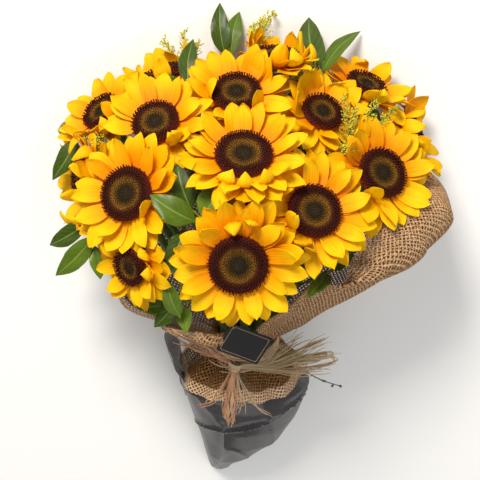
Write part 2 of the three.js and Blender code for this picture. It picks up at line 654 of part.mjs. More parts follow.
function stalkOf(piece, base) {
  const [u, w] = [piece.foot[0], -piece.foot[1]];
  const build = (attempt, grow) => tube(stalkPoints([u, w], base, attempt), TWIG_RADIUS + grow, 3, 5);
  return firstClear(STALK_TRIES, build, piece.name) ?? build(STALK_TRIES[0], 0);
}

function leafOf(leaf, [off, roll], grow) {
  const base = onDome(leaf.base[0], leaf.base[1], leaf.base[2]);
  const tip = onDome(leaf.tip[0], leaf.tip[1], leaf.tip[2] + off);
  const line = tip.clone().sub(base);
  const length = line.length();
  line.normalize();
  const side = new THREE.Vector3().crossVectors(OUT, line).normalize();
  const up = new THREE.Vector3().crossVectors(line, side);
  const outline = [[-0.04, 0.1, 0], [0.24, 0.8, 2.5], [0.52, 1, 4], [0.8, 0.62, 2.6], [1, 0, 0]];
  const stations = outline.map(([part, width, arch]) => ({
    middle: base.clone().addScaledVector(line, part * length).addScaledVector(up, arch),
    side: side.clone().multiplyScalar(Math.cos(roll)).addScaledVector(up, Math.sin(roll)),
    up: up.clone().multiplyScalar(Math.cos(roll)).addScaledVector(side, -Math.sin(roll)),
    half: (width * leaf.width) / 2,
    thick: LEAF_THICK,
  }));
  return blade(stations, grow);
}

const LEAF_TRIES = [];
for (const off of [0, 5, -5, 10, -10, 16, -16, 24, -24]) {
  for (const roll of [0, 0.3, -0.3, 0.6, -0.6, 1, -1]) LEAF_TRIES.push([off, roll]);
}

function sprigOf(sprig) {
  const bases = sprig.leaves.map((leaf) => onDome(...leaf.base));
  const pieces = [stalkOf(sprig, bases[0])];
  sprig.leaves.forEach((leaf, i) => {
    if (i > 0) pieces.push(tube([bases[0], bases[i]], TWIG_RADIUS * 0.9, 3, 1));
    const built = firstClear(LEAF_TRIES, (attempt, grow) => leafOf(leaf, attempt, grow), sprig.name);
    if (built) pieces.push(built);
  });
  return pieces;
}

// A plume: a stalk that bows over, beaded with buds.
function plumeOf(base, tip, sag, grow) {
  const middle = base.clone().lerp(tip, 0.5).addScaledVector(OUT, sag);
  const path = new THREE.CatmullRomCurve3([base, middle, tip], false, 'centripetal');
  const beads = 6;
  const sides = 3;
  const rings = [];
  for (let i = 0; i < beads; i += 1) {
    const part = i / beads;
    const tangent = path.getTangentAt(part);
    const across = new THREE.Vector3().crossVectors(tangent, OUT).normalize();
    const over = new THREE.Vector3().crossVectors(across, tangent);
    const radius = (i % 2 ? 3.6 - part * 1.6 : 1.2) + grow;
    rings.push(Array.from({ length: sides }, (_, k) => {
      const turn = (k / sides) * 2 * Math.PI;
      return path.getPointAt(part).addScaledVector(across, radius * Math.cos(turn))
        .addScaledVector(over, radius * Math.sin(turn));
    }));
  }
  rings.push([tip.clone()]);
  return outward(skin(rings));
}

function sprayOf(spray) {
  const base = onDome(...spray.base);
  const pieces = [stalkOf(spray, base)];
  spray.tips.forEach((tip) => {
    const build = ([off, sag], grow) => plumeOf(base, onDome(tip[0], tip[1], tip[2] + off), sag, grow);
    const tries = [];
    for (const off of [0, 5, -5, 10, -10, 18]) for (const sag of [5, 0, 10, -5, 16]) tries.push([off, sag]);
    const built = firstClear(tries, build, spray.name);
    if (built) pieces.push(built);
  });
  return pieces;
}

for (const [list, build, colour] of [[SPRIGS, sprigOf, COLOURS.leaf], [SPRAYS, sprayOf, COLOURS.goldenrod]]) {
  for (const piece of list) {
    const pieces = build(piece);
    for (const solid of pieces) addObstacle(piece.name, solid);
    addPart(piece.name, wholeBody(fuse(pieces)), colour, 0.5);
  }
}

// Petals, bloom after bloom from the front of the bunch, each bent clear of what is placed already.
const PETAL_TRIES = [];
for (const length of [1, 0.85, 0.7]) {
  for (const bend of [0, 8, -8, 16, 26, -16, 38, 52, 66, 78]) {
    for (const turn of [0, 0.16, -0.16]) PETAL_TRIES.push({ bend: THREE.MathUtils.degToRad(bend), turn, length });
  }
}

const LAYERS = [
  { level: -4.9, first: 0, rise: 0, width: 1, offset: 0 },
  { level: -2.3, first: 0.05, rise: 0.34, width: 0.94, offset: 0.5 },
];

function petalsOf(bloom) {
  const frame = frames.get(bloom.name);
  const random = randomFrom(100 + BLOOMS.indexOf(bloom));
  const pitch = (2 * Math.PI) / bloom.petals;
  const middle = bloom.disc / 2 + bloom.reach / 2;
  const petals = [];
  for (const layer of LAYERS) {
    for (let i = 0; i < bloom.petals; i += 1) {
      const turn = (i + layer.offset + 0.24 * (random() - 0.5)) * pitch;
      const width = Math.min(pitch * middle * 0.7, PETAL_MAX_WIDTH) * layer.width * (0.92 + 0.16 * random());
      const draw = { rise: 0.16 * (random() - 0.5), roll: 0.4 * (random() - 0.5), length: 0.9 + 0.18 * random() };
      const build = (attempt, grow) => petalOf(bloom, frame, turn, {
        level: layer.level, first: layer.first, rise: layer.rise + draw.rise + attempt.bend,
        turn: attempt.turn, roll: draw.roll, length: draw.length * attempt.length, width,
      }, grow);
      const petal = firstClear(PETAL_TRIES, build, bloom.name);
      if (petal) petals.push(petal);
    }
  }
  return petals;
}

const ORDER = [1, 2, 3, 4, 5, 7, 6, 8, 9, 12, 10, 11, 15, 13, 14, 16, 17];

for (const number of ORDER) {
  const bloom = BLOOMS[number - 1];
  const petals = petalsOf(bloom);
  for (const petal of petals) addObstacle(bloom.name, petal);
  addPart(`${bloom.name}_petals`, wholeBody(fuse([bloom.hub, ...petals])), COLOURS.petal, 0.55);
  addPart(`${bloom.name}_disc`, bloom.face, COLOURS.disc, 0.95);
}

// The origin is under the middle of the whole bunch.
const group = new THREE.Group();
group.add(...parts);
const middle = new THREE.Box3().setFromObject(group).getCenter(new THREE.Vector3());
for (const part of parts) part.geometry.translate(-middle.x, -middle.y, 0);

export default group;
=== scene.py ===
"""A hand-tied bunch of sunflowers, lying on its back.

The heads stand over a burlap wrap that is tied with raffia, and a smoky film bag closes round the stems.
Sizes are in millimetres until a mesh is finished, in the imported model's own frame.
"""

import logging
import math
from collections.abc import Callable, Iterable, Sequence
from dataclasses import dataclass, field, replace
from enum import Enum
from typing import ClassVar

import bmesh
import bpy
import numpy as np
from mathutils import Matrix, Vector
from mathutils.bvhtree import BVHTree

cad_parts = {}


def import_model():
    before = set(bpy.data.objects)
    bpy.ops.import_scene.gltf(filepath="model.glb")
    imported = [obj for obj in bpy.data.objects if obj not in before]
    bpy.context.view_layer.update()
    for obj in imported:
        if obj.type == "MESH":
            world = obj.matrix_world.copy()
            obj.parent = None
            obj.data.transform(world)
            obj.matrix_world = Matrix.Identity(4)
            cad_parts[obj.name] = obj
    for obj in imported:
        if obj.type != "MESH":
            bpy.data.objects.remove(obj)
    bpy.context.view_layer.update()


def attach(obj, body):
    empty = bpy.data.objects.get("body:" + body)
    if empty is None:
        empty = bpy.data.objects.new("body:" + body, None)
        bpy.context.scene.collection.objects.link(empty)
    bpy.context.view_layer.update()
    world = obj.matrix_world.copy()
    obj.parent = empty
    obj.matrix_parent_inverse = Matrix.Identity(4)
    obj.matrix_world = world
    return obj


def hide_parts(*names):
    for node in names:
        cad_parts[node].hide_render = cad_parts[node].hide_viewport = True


Array = np.ndarray
Values = float | np.ndarray
Point = tuple[float, float, float]
Face = tuple[int, ...]
Table = tuple[tuple[float, float], ...]
Piece = bpy.types.Object
Material = bpy.types.Material
Tree = bpy.types.NodeTree
Socket = bpy.types.NodeSocket

LOG = logging.getLogger("sunflower_bunch")

METRE = 0.001
BODY = "root"

RISE = math.radians(20.3)
TIE_POINT = np.array((-6.692, -50.190, 94.0))
FACE_TURN = math.radians(38)
DOME_HEIGHT = 183.6
DOME_FORWARD = 15.0
DOME_RADIUS = 320.0

RIGHT = np.array((1.0, 0.0, 0.0))
ALONG = np.array((0.0, math.cos(RISE), math.sin(RISE)))
FRONT = np.array((0.0, -math.sin(RISE), math.cos(RISE)))
AXES = np.stack([RIGHT, ALONG, FRONT])
OUT = math.cos(FACE_TURN) * ALONG + math.sin(FACE_TURN) * FRONT
UP = math.sin(FACE_TURN) * ALONG - math.cos(FACE_TURN) * FRONT

FULL_TURN = 2 * math.pi
HUB_SHARE = 0.4
HUB_DEPTH = 6.5
CUP_DEPTH = 11.0
STEM_RADIUS = 4.0
WAIST_SHARE = 0.112
CORE_TOP = 46.0
GAP = 0.4
FLOOR_GAP = 1.0
MULTIPLIED = {"data_type": "RGBA", "blend_type": "MULTIPLY"}


def place(u: float, v: float, w: float) -> Array:
    """Return the point u to the right of the tie, v up the stems and w to the front."""
    return TIE_POINT + u * RIGHT + v * ALONG + w * FRONT


def on_dome(right: float, up: float, off: float) -> Array:
    """Return a point that stands off the dome of heads, seen square on, by a distance."""
    fall = (right * right + up * up) / (2 * DOME_RADIUS)
    return place(0, DOME_HEIGHT, DOME_FORWARD) + right * RIGHT + up * UP + (off - fall) * OUT


def unit(vector: Array) -> Array:
    """Return vectors of length one, along the last axis."""
    return vector / np.maximum(np.linalg.norm(vector, axis=-1, keepdims=True), 1e-12)


def around(first: Array, second: Array, turn: Array) -> Array:
    """Return the directions at some angles from a first direction towards a second."""
    return first * np.cos(turn)[:, None] + second * np.sin(turn)[:, None]


def rolled(side: Array, up: Array, turn: Values) -> tuple[Array, Array]:
    """Return a sideways and an upward direction, rolled by an angle about the way ahead."""
    return side * np.cos(turn) + up * np.sin(turn), up * np.cos(turn) - side * np.sin(turn)


def ease(x: Values, low: float, high: float) -> Array:
    """Return 0 below low and 1 above high, with a smooth change between."""
    t = np.clip((np.asarray(x, float) - low) / (high - low), 0, 1)
    return t * t * (3 - 2 * t)


def smooth_path(points: Sequence[Array], count: int) -> Array:
    """Run a centripetal Catmull-Rom curve through points.

    Args:
        points: the points that it passes through, in order.
        count: how many points to return, evenly spread over the spans.

    Returns:
        An array of count points.
    """
    given = [np.asarray(p, float) for p in points]
    ends = [2 * given[0] - given[1], *given, 2 * given[-1] - given[-2]]
    found = []
    for part in np.linspace(0, len(given) - 1, count):
        i = min(int(part), len(given) - 2)
        p = ends[i : i + 4]
        knots = [0.0]
        for a, b in zip(p, p[1:]):
            knots.append(knots[-1] + max(float(np.linalg.norm(b - a)) ** 0.5, 1e-6))
        t = knots[1] + (part - i) * (knots[2] - knots[1])

        def between(a: Array, b: Array, start: int, end: int) -> Array:
            """Return the point at t on the line from a to b, between two knots."""
            return ((knots[end] - t) * a + (t - knots[start]) * b) / (knots[end] - knots[start])

        first = [between(p[k], p[k + 1], k, k + 1) for k in range(3)]
        second = [between(first[k], first[k + 1], k, k + 2) for k in range(2)]
        found.append(between(second[0], second[1], 1, 2))
    return np.array(found)


def length_along(path: Array) -> Array:
    """Return how far along a path each of its points is."""
    return np.concatenate([[0], np.cumsum(np.linalg.norm(np.diff(path, axis=0), axis=1))])


def plan_of(across: Array, along: Array) -> Array:
    """Return a UV place for each point of a grid with its rows along and its columns across."""
    return np.stack(np.meshgrid(across, along, indexing="xy"), axis=-1)


def frames_along(path: Array, guide: Array) -> tuple[Array, Array, Array]:
    """Carry a frame along a path without twist.

    Args:
        path: the points of the path.
        guide: a rough sideways direction at the start.

    Returns:
        The tangents, the sideways and the upward directions, one for each point.
    """
    tangents = unit(np.gradient(path, axis=0))
    sides = []
    side = guide
    for tangent in tangents:
        side = unit(side - tangent * float(np.dot(side, tangent)))
        sides.append(side)
    sides = np.array(sides)
    return tangents, sides, np.cross(sides, tangents)


def new_object(name: str, data: bpy.types.ID) -> Piece:
    """Return a new object in the scene that shows a mesh, a lamp or a camera."""
    piece = bpy.data.objects.new(name, data)
    bpy.context.scene.collection.objects.link(piece)
    return piece


def add_attribute(mesh: bpy.types.Mesh, name: str, values: Array) -> None:
    """Give each point of a mesh a number or a vector that a node tree can read.

    Args:
        mesh: the mesh.
        name: the attribute's name.
        values: one row or one number for each point.
    """
    kind, key = ("FLOAT_VECTOR", "vector") if np.ndim(values) == 2 else ("FLOAT", "value")
    attribute = mesh.attributes.new(name, kind, "POINT")
    attribute.data.foreach_set(key, np.asarray(values, np.float32).ravel())


class Draft:
    """A mesh under way: closed islands with a UV map and a tone for each point."""

    def __init__(self) -> None:
        """Start with nothing."""
        self.points: list[Array] = []
        self.faces: list[Face] = []
        self.uvs: list[Array] = []
        self.tones: list[Array] = []
        self.count = 0

    def add(self, points: Array, faces: Iterable[Face], uvs: Array | None = None, tone: Values = 0.0) -> None:
        """Add an island.

        Args:
            points: its points, in millimetres.
            faces: its faces, counted from 0.
            uvs: a UV place for each point.
            tone: a number for each point, or one for all, that the finish reads.
        """
        self.points.append(points)
        self.faces.extend(tuple(k + self.count for k in face) for face in faces)
        self.uvs.append(np.zeros((len(points), 2)) if uvs is None else uvs)
        self.tones.append(np.broadcast_to(np.asarray(tone, float), (len(points),)))
        self.count += len(points)

    def build(self, name: str, material: Material, sharp: float = 50) -> Piece:
        """Make the object, its place in its mesh and its faces turned outwards.

        Args:
            name: the piece's name.
            material: its material.
            sharp: the angle in degrees from which an edge stays sharp.

        Returns:
            The new object.
        """
        mesh = bpy.data.meshes.new(name)
        mesh.from_pydata((np.concatenate(self.points) * METRE).tolist(), [], self.faces)
        work = bmesh.new()
        work.from_mesh(mesh)
        bmesh.ops.recalc_face_normals(work, faces=work.faces)
        work.to_mesh(mesh)
        work.free()
        corners = np.zeros(len(mesh.loops), np.int32)
        mesh.loops.foreach_get("vertex_index", corners)
        layer = mesh.uv_layers.new(name="UVMap")
        layer.data.foreach_set("uv", np.concatenate(self.uvs)[corners].astype(np.float32).ravel())
        add_attribute(mesh, "tone", np.concatenate(self.tones))
        mesh.shade_smooth()
        mesh.set_sharp_from_angle(angle=math.radians(sharp))
        mesh.materials.append(material)
        return new_object(name, mesh)


def grid_faces(rows: int, columns: int, start: int = 0, flip: bool = False, wrap: bool = False) -> list[Face]:
    """List the quads of a grid of points.

    Args:
        rows: how many rows it has.
        columns: how many points are in a row.
        start: the number of its first point.
        flip: whether the quads face the other way.
        wrap: whether each row closes on itself.

    Returns:
        The quads, row by row.
    """
    faces = []
    for i in range(rows - 1):
        for j in range(columns if wrap else columns - 1):
            a = start + i * columns + j
            b = start + i * columns + (j + 1) % columns
            quad = (a, b, b + columns, a + columns)
            faces.append(quad[::-1] if flip else quad)
    return faces


def tube_faces(rows: int, sides: int) -> list[Face]:
    """Return the faces of a stack of rings, with a cap on its first and its last."""
    caps = [tuple(range(sides))[::-1], tuple(range((rows - 1) * sides, rows * sides))]
    return grid_faces(rows, sides, wrap=True) + caps


def add_shell(
    draft: Draft, grid: Array, up: Array, thick: Values, uvs: Array | None = None, tone: float = 0.0
) -> None:
    """Add a thin closed blade over a grid of points.

    Args:
        draft: the mesh to add to.
        grid: rows by columns of points on its middle surface.
        up: the direction of its upper face, for all points or for each.
        thick: its thickness.
        uvs: a UV place for each point of the grid.
        tone: the finish's number.
    """
    rows, columns = grid.shape[:2]
    total = rows * columns
    half = np.asarray(thick, float) / 2
    half = half[..., None] if half.ndim == 2 else half
    points = np.concatenate([(grid + up * half).reshape(-1, 3), (grid - up * half).reshape(-1, 3)])
    faces = grid_faces(rows, columns) + grid_faces(rows, columns, total, flip=True)
    rim = [(0, j) for j in range(columns)]
    rim += [(i, columns - 1) for i in range(1, rows)]
    rim += [(rows - 1, j) for j in range(columns - 2, -1, -1)]
    rim += [(i, 0) for i in range(rows - 2, 0, -1)]
    ids = [i * columns + j for i, j in rim]
    for a, b in zip(ids, ids[1:] + ids[:1]):
        faces.append((b, a, a + total, b + total))
    flat = np.zeros((total, 2)) if uvs is None else uvs.reshape(-1, 2)
    draft.add(points, faces, np.concatenate([flat, flat]), tone)


def add_tube(
    draft: Draft,
    path: Array,
    radius: Values,
    sides: int,
    guide: Array = RIGHT,
    tone: float = 0.0,
    ribs: Callable[[Array], Array] | None = None,
) -> None:
    """Add a closed tube along a path.

    Args:
        draft: the mesh to add to.
        path: the points of its middle line.
        radius: its radius, for all or for each point.
        sides: how many sides it has.
        guide: a rough sideways direction at its start.
        tone: the finish's number.
        ribs: a factor on the radius for each angle round it.
    """
    _, side, up = frames_along(path, guide)
    turn = np.linspace(0, FULL_TURN, sides, endpoint=False)
    size = np.broadcast_to(np.asarray(radius, float), (len(path),))[:, None, None]
    factor = np.ones(sides) if ribs is None else ribs(turn)
    ring = side[:, None] * (np.cos(turn) * factor)[:, None] + up[:, None] * (np.sin(turn) * factor)[:, None]
    points = (path[:, None] + ring * size).reshape(-1, 3)
    uvs = plan_of(turn / FULL_TURN, length_along(path)).reshape(-1, 2)
    draft.add(points, tube_faces(len(path), sides), uvs, tone)


def add_strip(
    draft: Draft, path: Array, ups: Array, width: Values, thick: float, tone: float, cup: float
) -> None:
    """Add a flat ribbon along a path.

    Args:
        draft: the mesh to add to.
        path: the points of its middle line.
        ups: the direction of its face at each point.
        width: its width, for all or for each point.
        thick: its thickness.
        tone: the finish's number.
        cup: how far its edges stand up, as a share of its width.
    """
    tangents = unit(np.gradient(path, axis=0))
    ups = unit(ups - tangents * np.sum(ups * tangents, axis=1, keepdims=True))
    sides = np.cross(ups, tangents)
    across = np.linspace(-0.5, 0.5, 4)
    size = np.broadcast_to(np.asarray(width, float), (len(path),))
    grid = path[:, None] + sides[:, None] * (size[:, None] * across)[..., None]
    grid = grid + ups[:, None] * (size[:, None] * (4 * across**2) * cup)[..., None]
    add_shell(draft, grid, ups[:, None], thick, plan_of(across + 0.5, length_along(path)), tone)


def add_turned(draft: Draft, frame: "BloomFrame", profile: Array, sides: int, tone: float = 0.0) -> None:
    """Add a closed turned form in a bloom's frame.

    Args:
        draft: the mesh to add to.
        frame: the bloom's frame.
        profile: rows of radius and height.
        sides: how many sides it has.
        tone: the finish's number.
    """
    radial = around(frame.across, frame.over, np.linspace(0, FULL_TURN, sides, endpoint=False))
    rows = [frame.centre + radial * radius + frame.normal * height for radius, height in profile]
    draft.add(np.concatenate(rows), tube_faces(len(rows), sides), None, tone)


def linear(colour: str, alpha: float = 1.0) -> tuple[float, float, float, float]:
    """Turn an sRGB hex colour into linear values."""
    parts = [int(colour[k : k + 2], 16) / 255 for k in (0, 2, 4)]
    return (*[c / 12.92 if c <= 0.04045 else ((c + 0.055) / 1.055) ** 2.4 for c in parts], alpha)


def add_node(
    tree: Tree,
    kind: str,
    inputs: dict[str | int, object] | None = None,
    stops: Sequence[tuple[float, str]] = (),
    out: str | int = 0,
    **settings: object,
) -> Socket | None:
    """Add a node with its settings, its values and its links.

    Args:
        tree: the node tree.
        kind: the node's type.
        inputs: a value or an output socket for each named or numbered input.
        stops: places and sRGB colours of a colour ramp.
        out: the name or number of the output that is wanted.
        settings: the node's own properties.

    Returns:
        That output, or nothing from a node that has no outputs.
    """
    node = tree.nodes.new(kind)
    for key, value in settings.items():
        setattr(node, key, value)
    for key, value in (inputs or {}).items():
        if isinstance(value, Socket):
            tree.links.new(value, node.inputs[key])
        else:
            node.inputs[key].default_value = value
    for k, (at, colour) in enumerate(stops):
        elements = node.color_ramp.elements
        if k == 0:
            elements.remove(elements[1])
            elements[0].position = at
        element = elements.new(at) if k else elements[0]
        element.color = linear(colour)
    return node.outputs[out] if node.outputs else None


@dataclass(frozen=True)
class Surface:
    """What every finish shares: a named material whose shader the finish itself builds."""

    title: ClassVar[str]

    def shader(self, tree: Tree) -> Socket:
        """Build the shader.

        Args:
            tree: the material's empty node tree.

        Returns:
            The shader's output.
        """
        raise NotImplementedError

    def material(self) -> Material:
        """Return a new material with the shader."""
        material = bpy.data.materials.new(self.title)
        material.use_nodes = True
        material.node_tree.nodes.clear()
        shader = self.shader(material.node_tree)
        add_node(material.node_tree, "ShaderNodeOutputMaterial", {"Surface": shader})
        return material


@dataclass(frozen=True)
class PetalFinish(Surface):
    """Fresh ray petal: thin, satin and deep yellow, so that light glows through it to orange at its base."""

    title: ClassVar[str] = "sunflower_petal"
    base: str = "EC7000"
    low: str = "FC9C00"
    middle: str = "FCC000"
    tip: str = "FDD20A"
    glow: str = "FF9E04"
    streak: str = "E8A850"
    glow_share: float = 0.24
    roughness: float = 0.52
    vein_count: float = 9.0
    vein_depth: float = 0.0006

    def shader(self, tree: Tree) -> Socket:
        """Grade the colour along the petal, and draw fine veins and streaks."""
        uv = add_node(tree, "ShaderNodeUVMap", uv_map="UVMap")
        along = add_node(tree, "ShaderNodeSeparateXYZ", {0: uv}, out="Y")
        tone = add_node(tree, "ShaderNodeAttribute", out="Fac", attribute_name="tone")
        # The tone moves a petal between orange and yellow: partly at random, partly as painted shade that
        # turns each head's upper petals deeper orange.
        shift = add_node(tree, "ShaderNodeMath", {0: tone, 1: 0.5, 2: along}, operation="MULTIPLY_ADD")
        stops = ((0.06, self.base), (0.42, self.low), (0.8, self.middle), (1.0, self.tip))
        ramp = add_node(tree, "ShaderNodeValToRGB", {0: shift}, stops)
        stretch = add_node(tree, "ShaderNodeMapping", {"Vector": uv, "Scale": (self.vein_count, 1.3, 1)})
        streak = add_node(tree, "ShaderNodeTexNoise", {"Vector": stretch, "Scale": 1.0, "Detail": 3.0})
        streaked = add_node(tree, "ShaderNodeValToRGB", {0: streak}, ((0.3, self.streak), (0.5, "FFFFFF")))
        mixed = add_node(tree, "ShaderNodeMix", {0: 0.35, 6: ramp, 7: streaked}, out=2, **MULTIPLIED)
        veins = {"Vector": uv, "Scale": self.vein_count * 0.35, "Distortion": 0.6, "Detail": 1.0}
        wave = add_node(tree, "ShaderNodeTexWave", veins, out="Fac", wave_type="BANDS", bands_direction="X")
        relief = {"Strength": 0.35, "Distance": self.vein_depth, "Height": wave}
        bump = add_node(tree, "ShaderNodeBump", relief)
        skin = add_node(tree, "ShaderNodeBsdfPrincipled", {
            "Base Color": mixed, "Roughness": self.roughness, "Normal": bump, "Specular IOR Level": 0.12,
        })
        glow = add_node(tree, "ShaderNodeBsdfTranslucent", {"Color": linear(self.glow), "Normal": bump})
        return add_node(tree, "ShaderNodeMixShader", {0: self.glow_share, 1: skin, 2: glow})


@dataclass(frozen=True)
class FloretFinish(Surface):
    """Disc florets: a matt dark maroon ring, a thin khaki ring, and olive-brown buds in the middle."""

    title: ClassVar[str] = "sunflower_florets"
    rings: tuple[tuple[float, str], ...] = (
        (0.08, "3A3020"), (0.3, "33230B"), (0.42, "6A4A14"), (0.54, "9A6A20"),
        (0.62, "5A280C"), (0.72, "401206"), (0.87, "5A1B08"), (0.98, "8A3410"),
    )
    flecks: tuple[tuple[float, str], ...] = ((0.35, "8C8C8C"), (0.72, "FFFFFF"))
    flecks_per_metre: float = 700.0
    roughness: float = 0.85

    def shader(self, tree: Tree) -> Socket:
        """Colour a floret by how far out on the disc it stands, with flecks."""
        ring = add_node(tree, "ShaderNodeAttribute", out="Fac", attribute_name="ring")
        spot = add_node(tree, "ShaderNodeTexCoord", out="Object")
        fleck = add_node(
            tree, "ShaderNodeTexNoise", {"Vector": spot, "Scale": self.flecks_per_metre, "Detail": 2.0}
        )
        shift = add_node(tree, "ShaderNodeMath", {0: fleck, 1: 0.12, 2: ring}, operation="MULTIPLY_ADD")
        ramp = add_node(tree, "ShaderNodeValToRGB", {0: shift}, self.rings)
        bright = add_node(tree, "ShaderNodeValToRGB", {0: fleck}, self.flecks)
        mixed = add_node(tree, "ShaderNodeMix", {0: 0.7, 6: ramp, 7: bright}, out=2, **MULTIPLIED)
        return add_node(tree, "ShaderNodeBsdfPrincipled", {
            "Base Color": mixed, "Roughness": self.roughness, "Specular IOR Level": 0.2,
        })


@dataclass(frozen=True)
class LeafFinish(Surface):
    """Florist's broad glossy leaf: waxy skin over dark green, a paler midrib and fine side veins."""

    title: ClassVar[str] = "glossy_leaf"
    dark: str = "1C2C04"
    middle: str = "384C06"
    light: str = "5C7614"
    rib: str = "7E9440"
    roughness: float = 0.4
    side_veins: float = 13.0
    vein_slant: float = 0.62
    vein_depth: float = 0.0008

    def shader(self, tree: Tree) -> Socket:
        """Draw the midrib and the side veins in the leaf's own UV map."""
        uv = add_node(tree, "ShaderNodeUVMap", uv_map="UVMap")
        along = add_node(tree, "ShaderNodeSeparateXYZ", {0: uv}, out="Y")
        across = along.node.outputs["X"]
        tone = add_node(tree, "ShaderNodeAttribute", out="Fac", attribute_name="tone")
        aside = add_node(tree, "ShaderNodeMath", {0: across, 1: 0.5}, operation="SUBTRACT")
        away = add_node(tree, "ShaderNodeMath", {0: aside}, operation="ABSOLUTE")
        slant = add_node(
            tree, "ShaderNodeMath", {0: away, 1: -self.vein_slant, 2: along}, operation="MULTIPLY_ADD"
        )
        repeat = add_node(tree, "ShaderNodeMath", {0: slant, 1: self.side_veins}, operation="MULTIPLY")
        vein = add_node(tree, "ShaderNodeMath", {0: repeat, 1: 1.0}, operation="PINGPONG")
        line, rib = (
            add_node(tree, "ShaderNodeMapRange", {
                "Value": value, "From Min": low, "From Max": high, "To Min": 1.0, "To Max": 0.0,
            })
            for value, low, high in ((vein, 0.0, 0.22), (away, 0.012, 0.05))
        )
        cloud = add_node(tree, "ShaderNodeTexNoise", {"Vector": uv, "Scale": 3.2, "Detail": 4.0})
        level = add_node(tree, "ShaderNodeMath", {0: cloud, 1: 0.55, 2: tone}, operation="MULTIPLY_ADD")
        stops = ((0.1, self.dark), (0.45, self.middle), (1.0, self.light))
        ramp = add_node(tree, "ShaderNodeValToRGB", {0: level}, stops)
        veined = add_node(tree, "ShaderNodeMath", {0: line, 1: 0.22, 2: rib}, operation="MULTIPLY_ADD")
        weak = add_node(tree, "ShaderNodeMath", {0: veined, 1: 0.6}, operation="MULTIPLY", use_clamp=True)
        mixed = add_node(
            tree, "ShaderNodeMix", {0: weak, 6: ramp, 7: linear(self.rib)}, out=2, data_type="RGBA"
        )
        bump = add_node(
            tree, "ShaderNodeBump", {"Strength": 0.4, "Distance": self.vein_depth, "Height": veined},
            invert=True,
        )
        return add_node(tree, "ShaderNodeBsdfPrincipled", {
            "Base Color": mixed, "Roughness": self.roughness, "Normal": bump, "Specular IOR Level": 0.22,
            "Coat Weight": 0.06, "Coat Roughness": 0.2,
        })


@dataclass(frozen=True)
class GrainFinish(Surface):
    """Matt plant matter: one fine grain mottles its colour and roughens it."""

    stops: tuple[tuple[float, str], ...]
    grain_share: float = 1.0
    roughness: float = 0.8
    sheen: float = 0.0
    grains_per_metre: float = 500.0
    grain_detail: float = 4.0
    grain_depth: float = 0.0005
    relief: float = 0.5

    def shader(self, tree: Tree) -> Socket:
        """Colour by the tone and the grain, and roughen by the grain."""
        spot = add_node(tree, "ShaderNodeTexCoord", out="Object")
        tone = add_node(tree, "ShaderNodeAttribute", out="Fac", attribute_name="tone")
        pattern = {"Vector": spot, "Scale": self.grains_per_metre, "Detail": self.grain_detail}
        grain = add_node(tree, "ShaderNodeTexNoise", pattern)
        mottle = {0: grain, 1: self.grain_share, 2: tone}
        level = add_node(tree, "ShaderNodeMath", mottle, operation="MULTIPLY_ADD")
        ramp = add_node(tree, "ShaderNodeValToRGB", {0: level}, self.stops)
        relief = {"Strength": self.relief, "Distance": self.grain_depth, "Height": grain}
        bump = add_node(tree, "ShaderNodeBump", relief)
        return add_node(tree, "ShaderNodeBsdfPrincipled", {
            "Base Color": ramp, "Roughness": self.roughness, "Normal": bump, "Sheen Weight": self.sheen,
        })


@dataclass(frozen=True)
class StemFinish(GrainFinish):
    """Sunflower stalk and bracts: rough, hairy green, mottled paler and yellower by its grain."""

    title: ClassVar[str] = "hairy_green_stalk"
    stops: tuple[tuple[float, str], ...] = ((0.15, "2E4A18"), (0.5, "557A2C"), (0.95, "8BA352"))
    grain_share: float = 0.7
    roughness: float = 0.72
    sheen: float = 0.3
    grains_per_metre: float = 160.0
    grain_depth: float = 0.0006


@dataclass(frozen=True)
class GoldenrodFinish(GrainFinish):
    """Goldenrod: tiny yellow-green buds on green twigs, matt and soft.

    Its tone alone colours it: 0 on a twig and 1 on an open bud.
    """

    title: ClassVar[str] = "goldenrod_buds"
    stops: tuple[tuple[float, str], ...] = ((0.1, "6C8428"), (0.5, "B4B028"), (1.0, "E6D034"))
    grain_share: float = 0.0
    roughness: float = 0.75
    grains_per_metre: float = 900.0
    grain_detail: float = 2.0
    grain_depth: float = 0.0004
    relief: float = 0.6


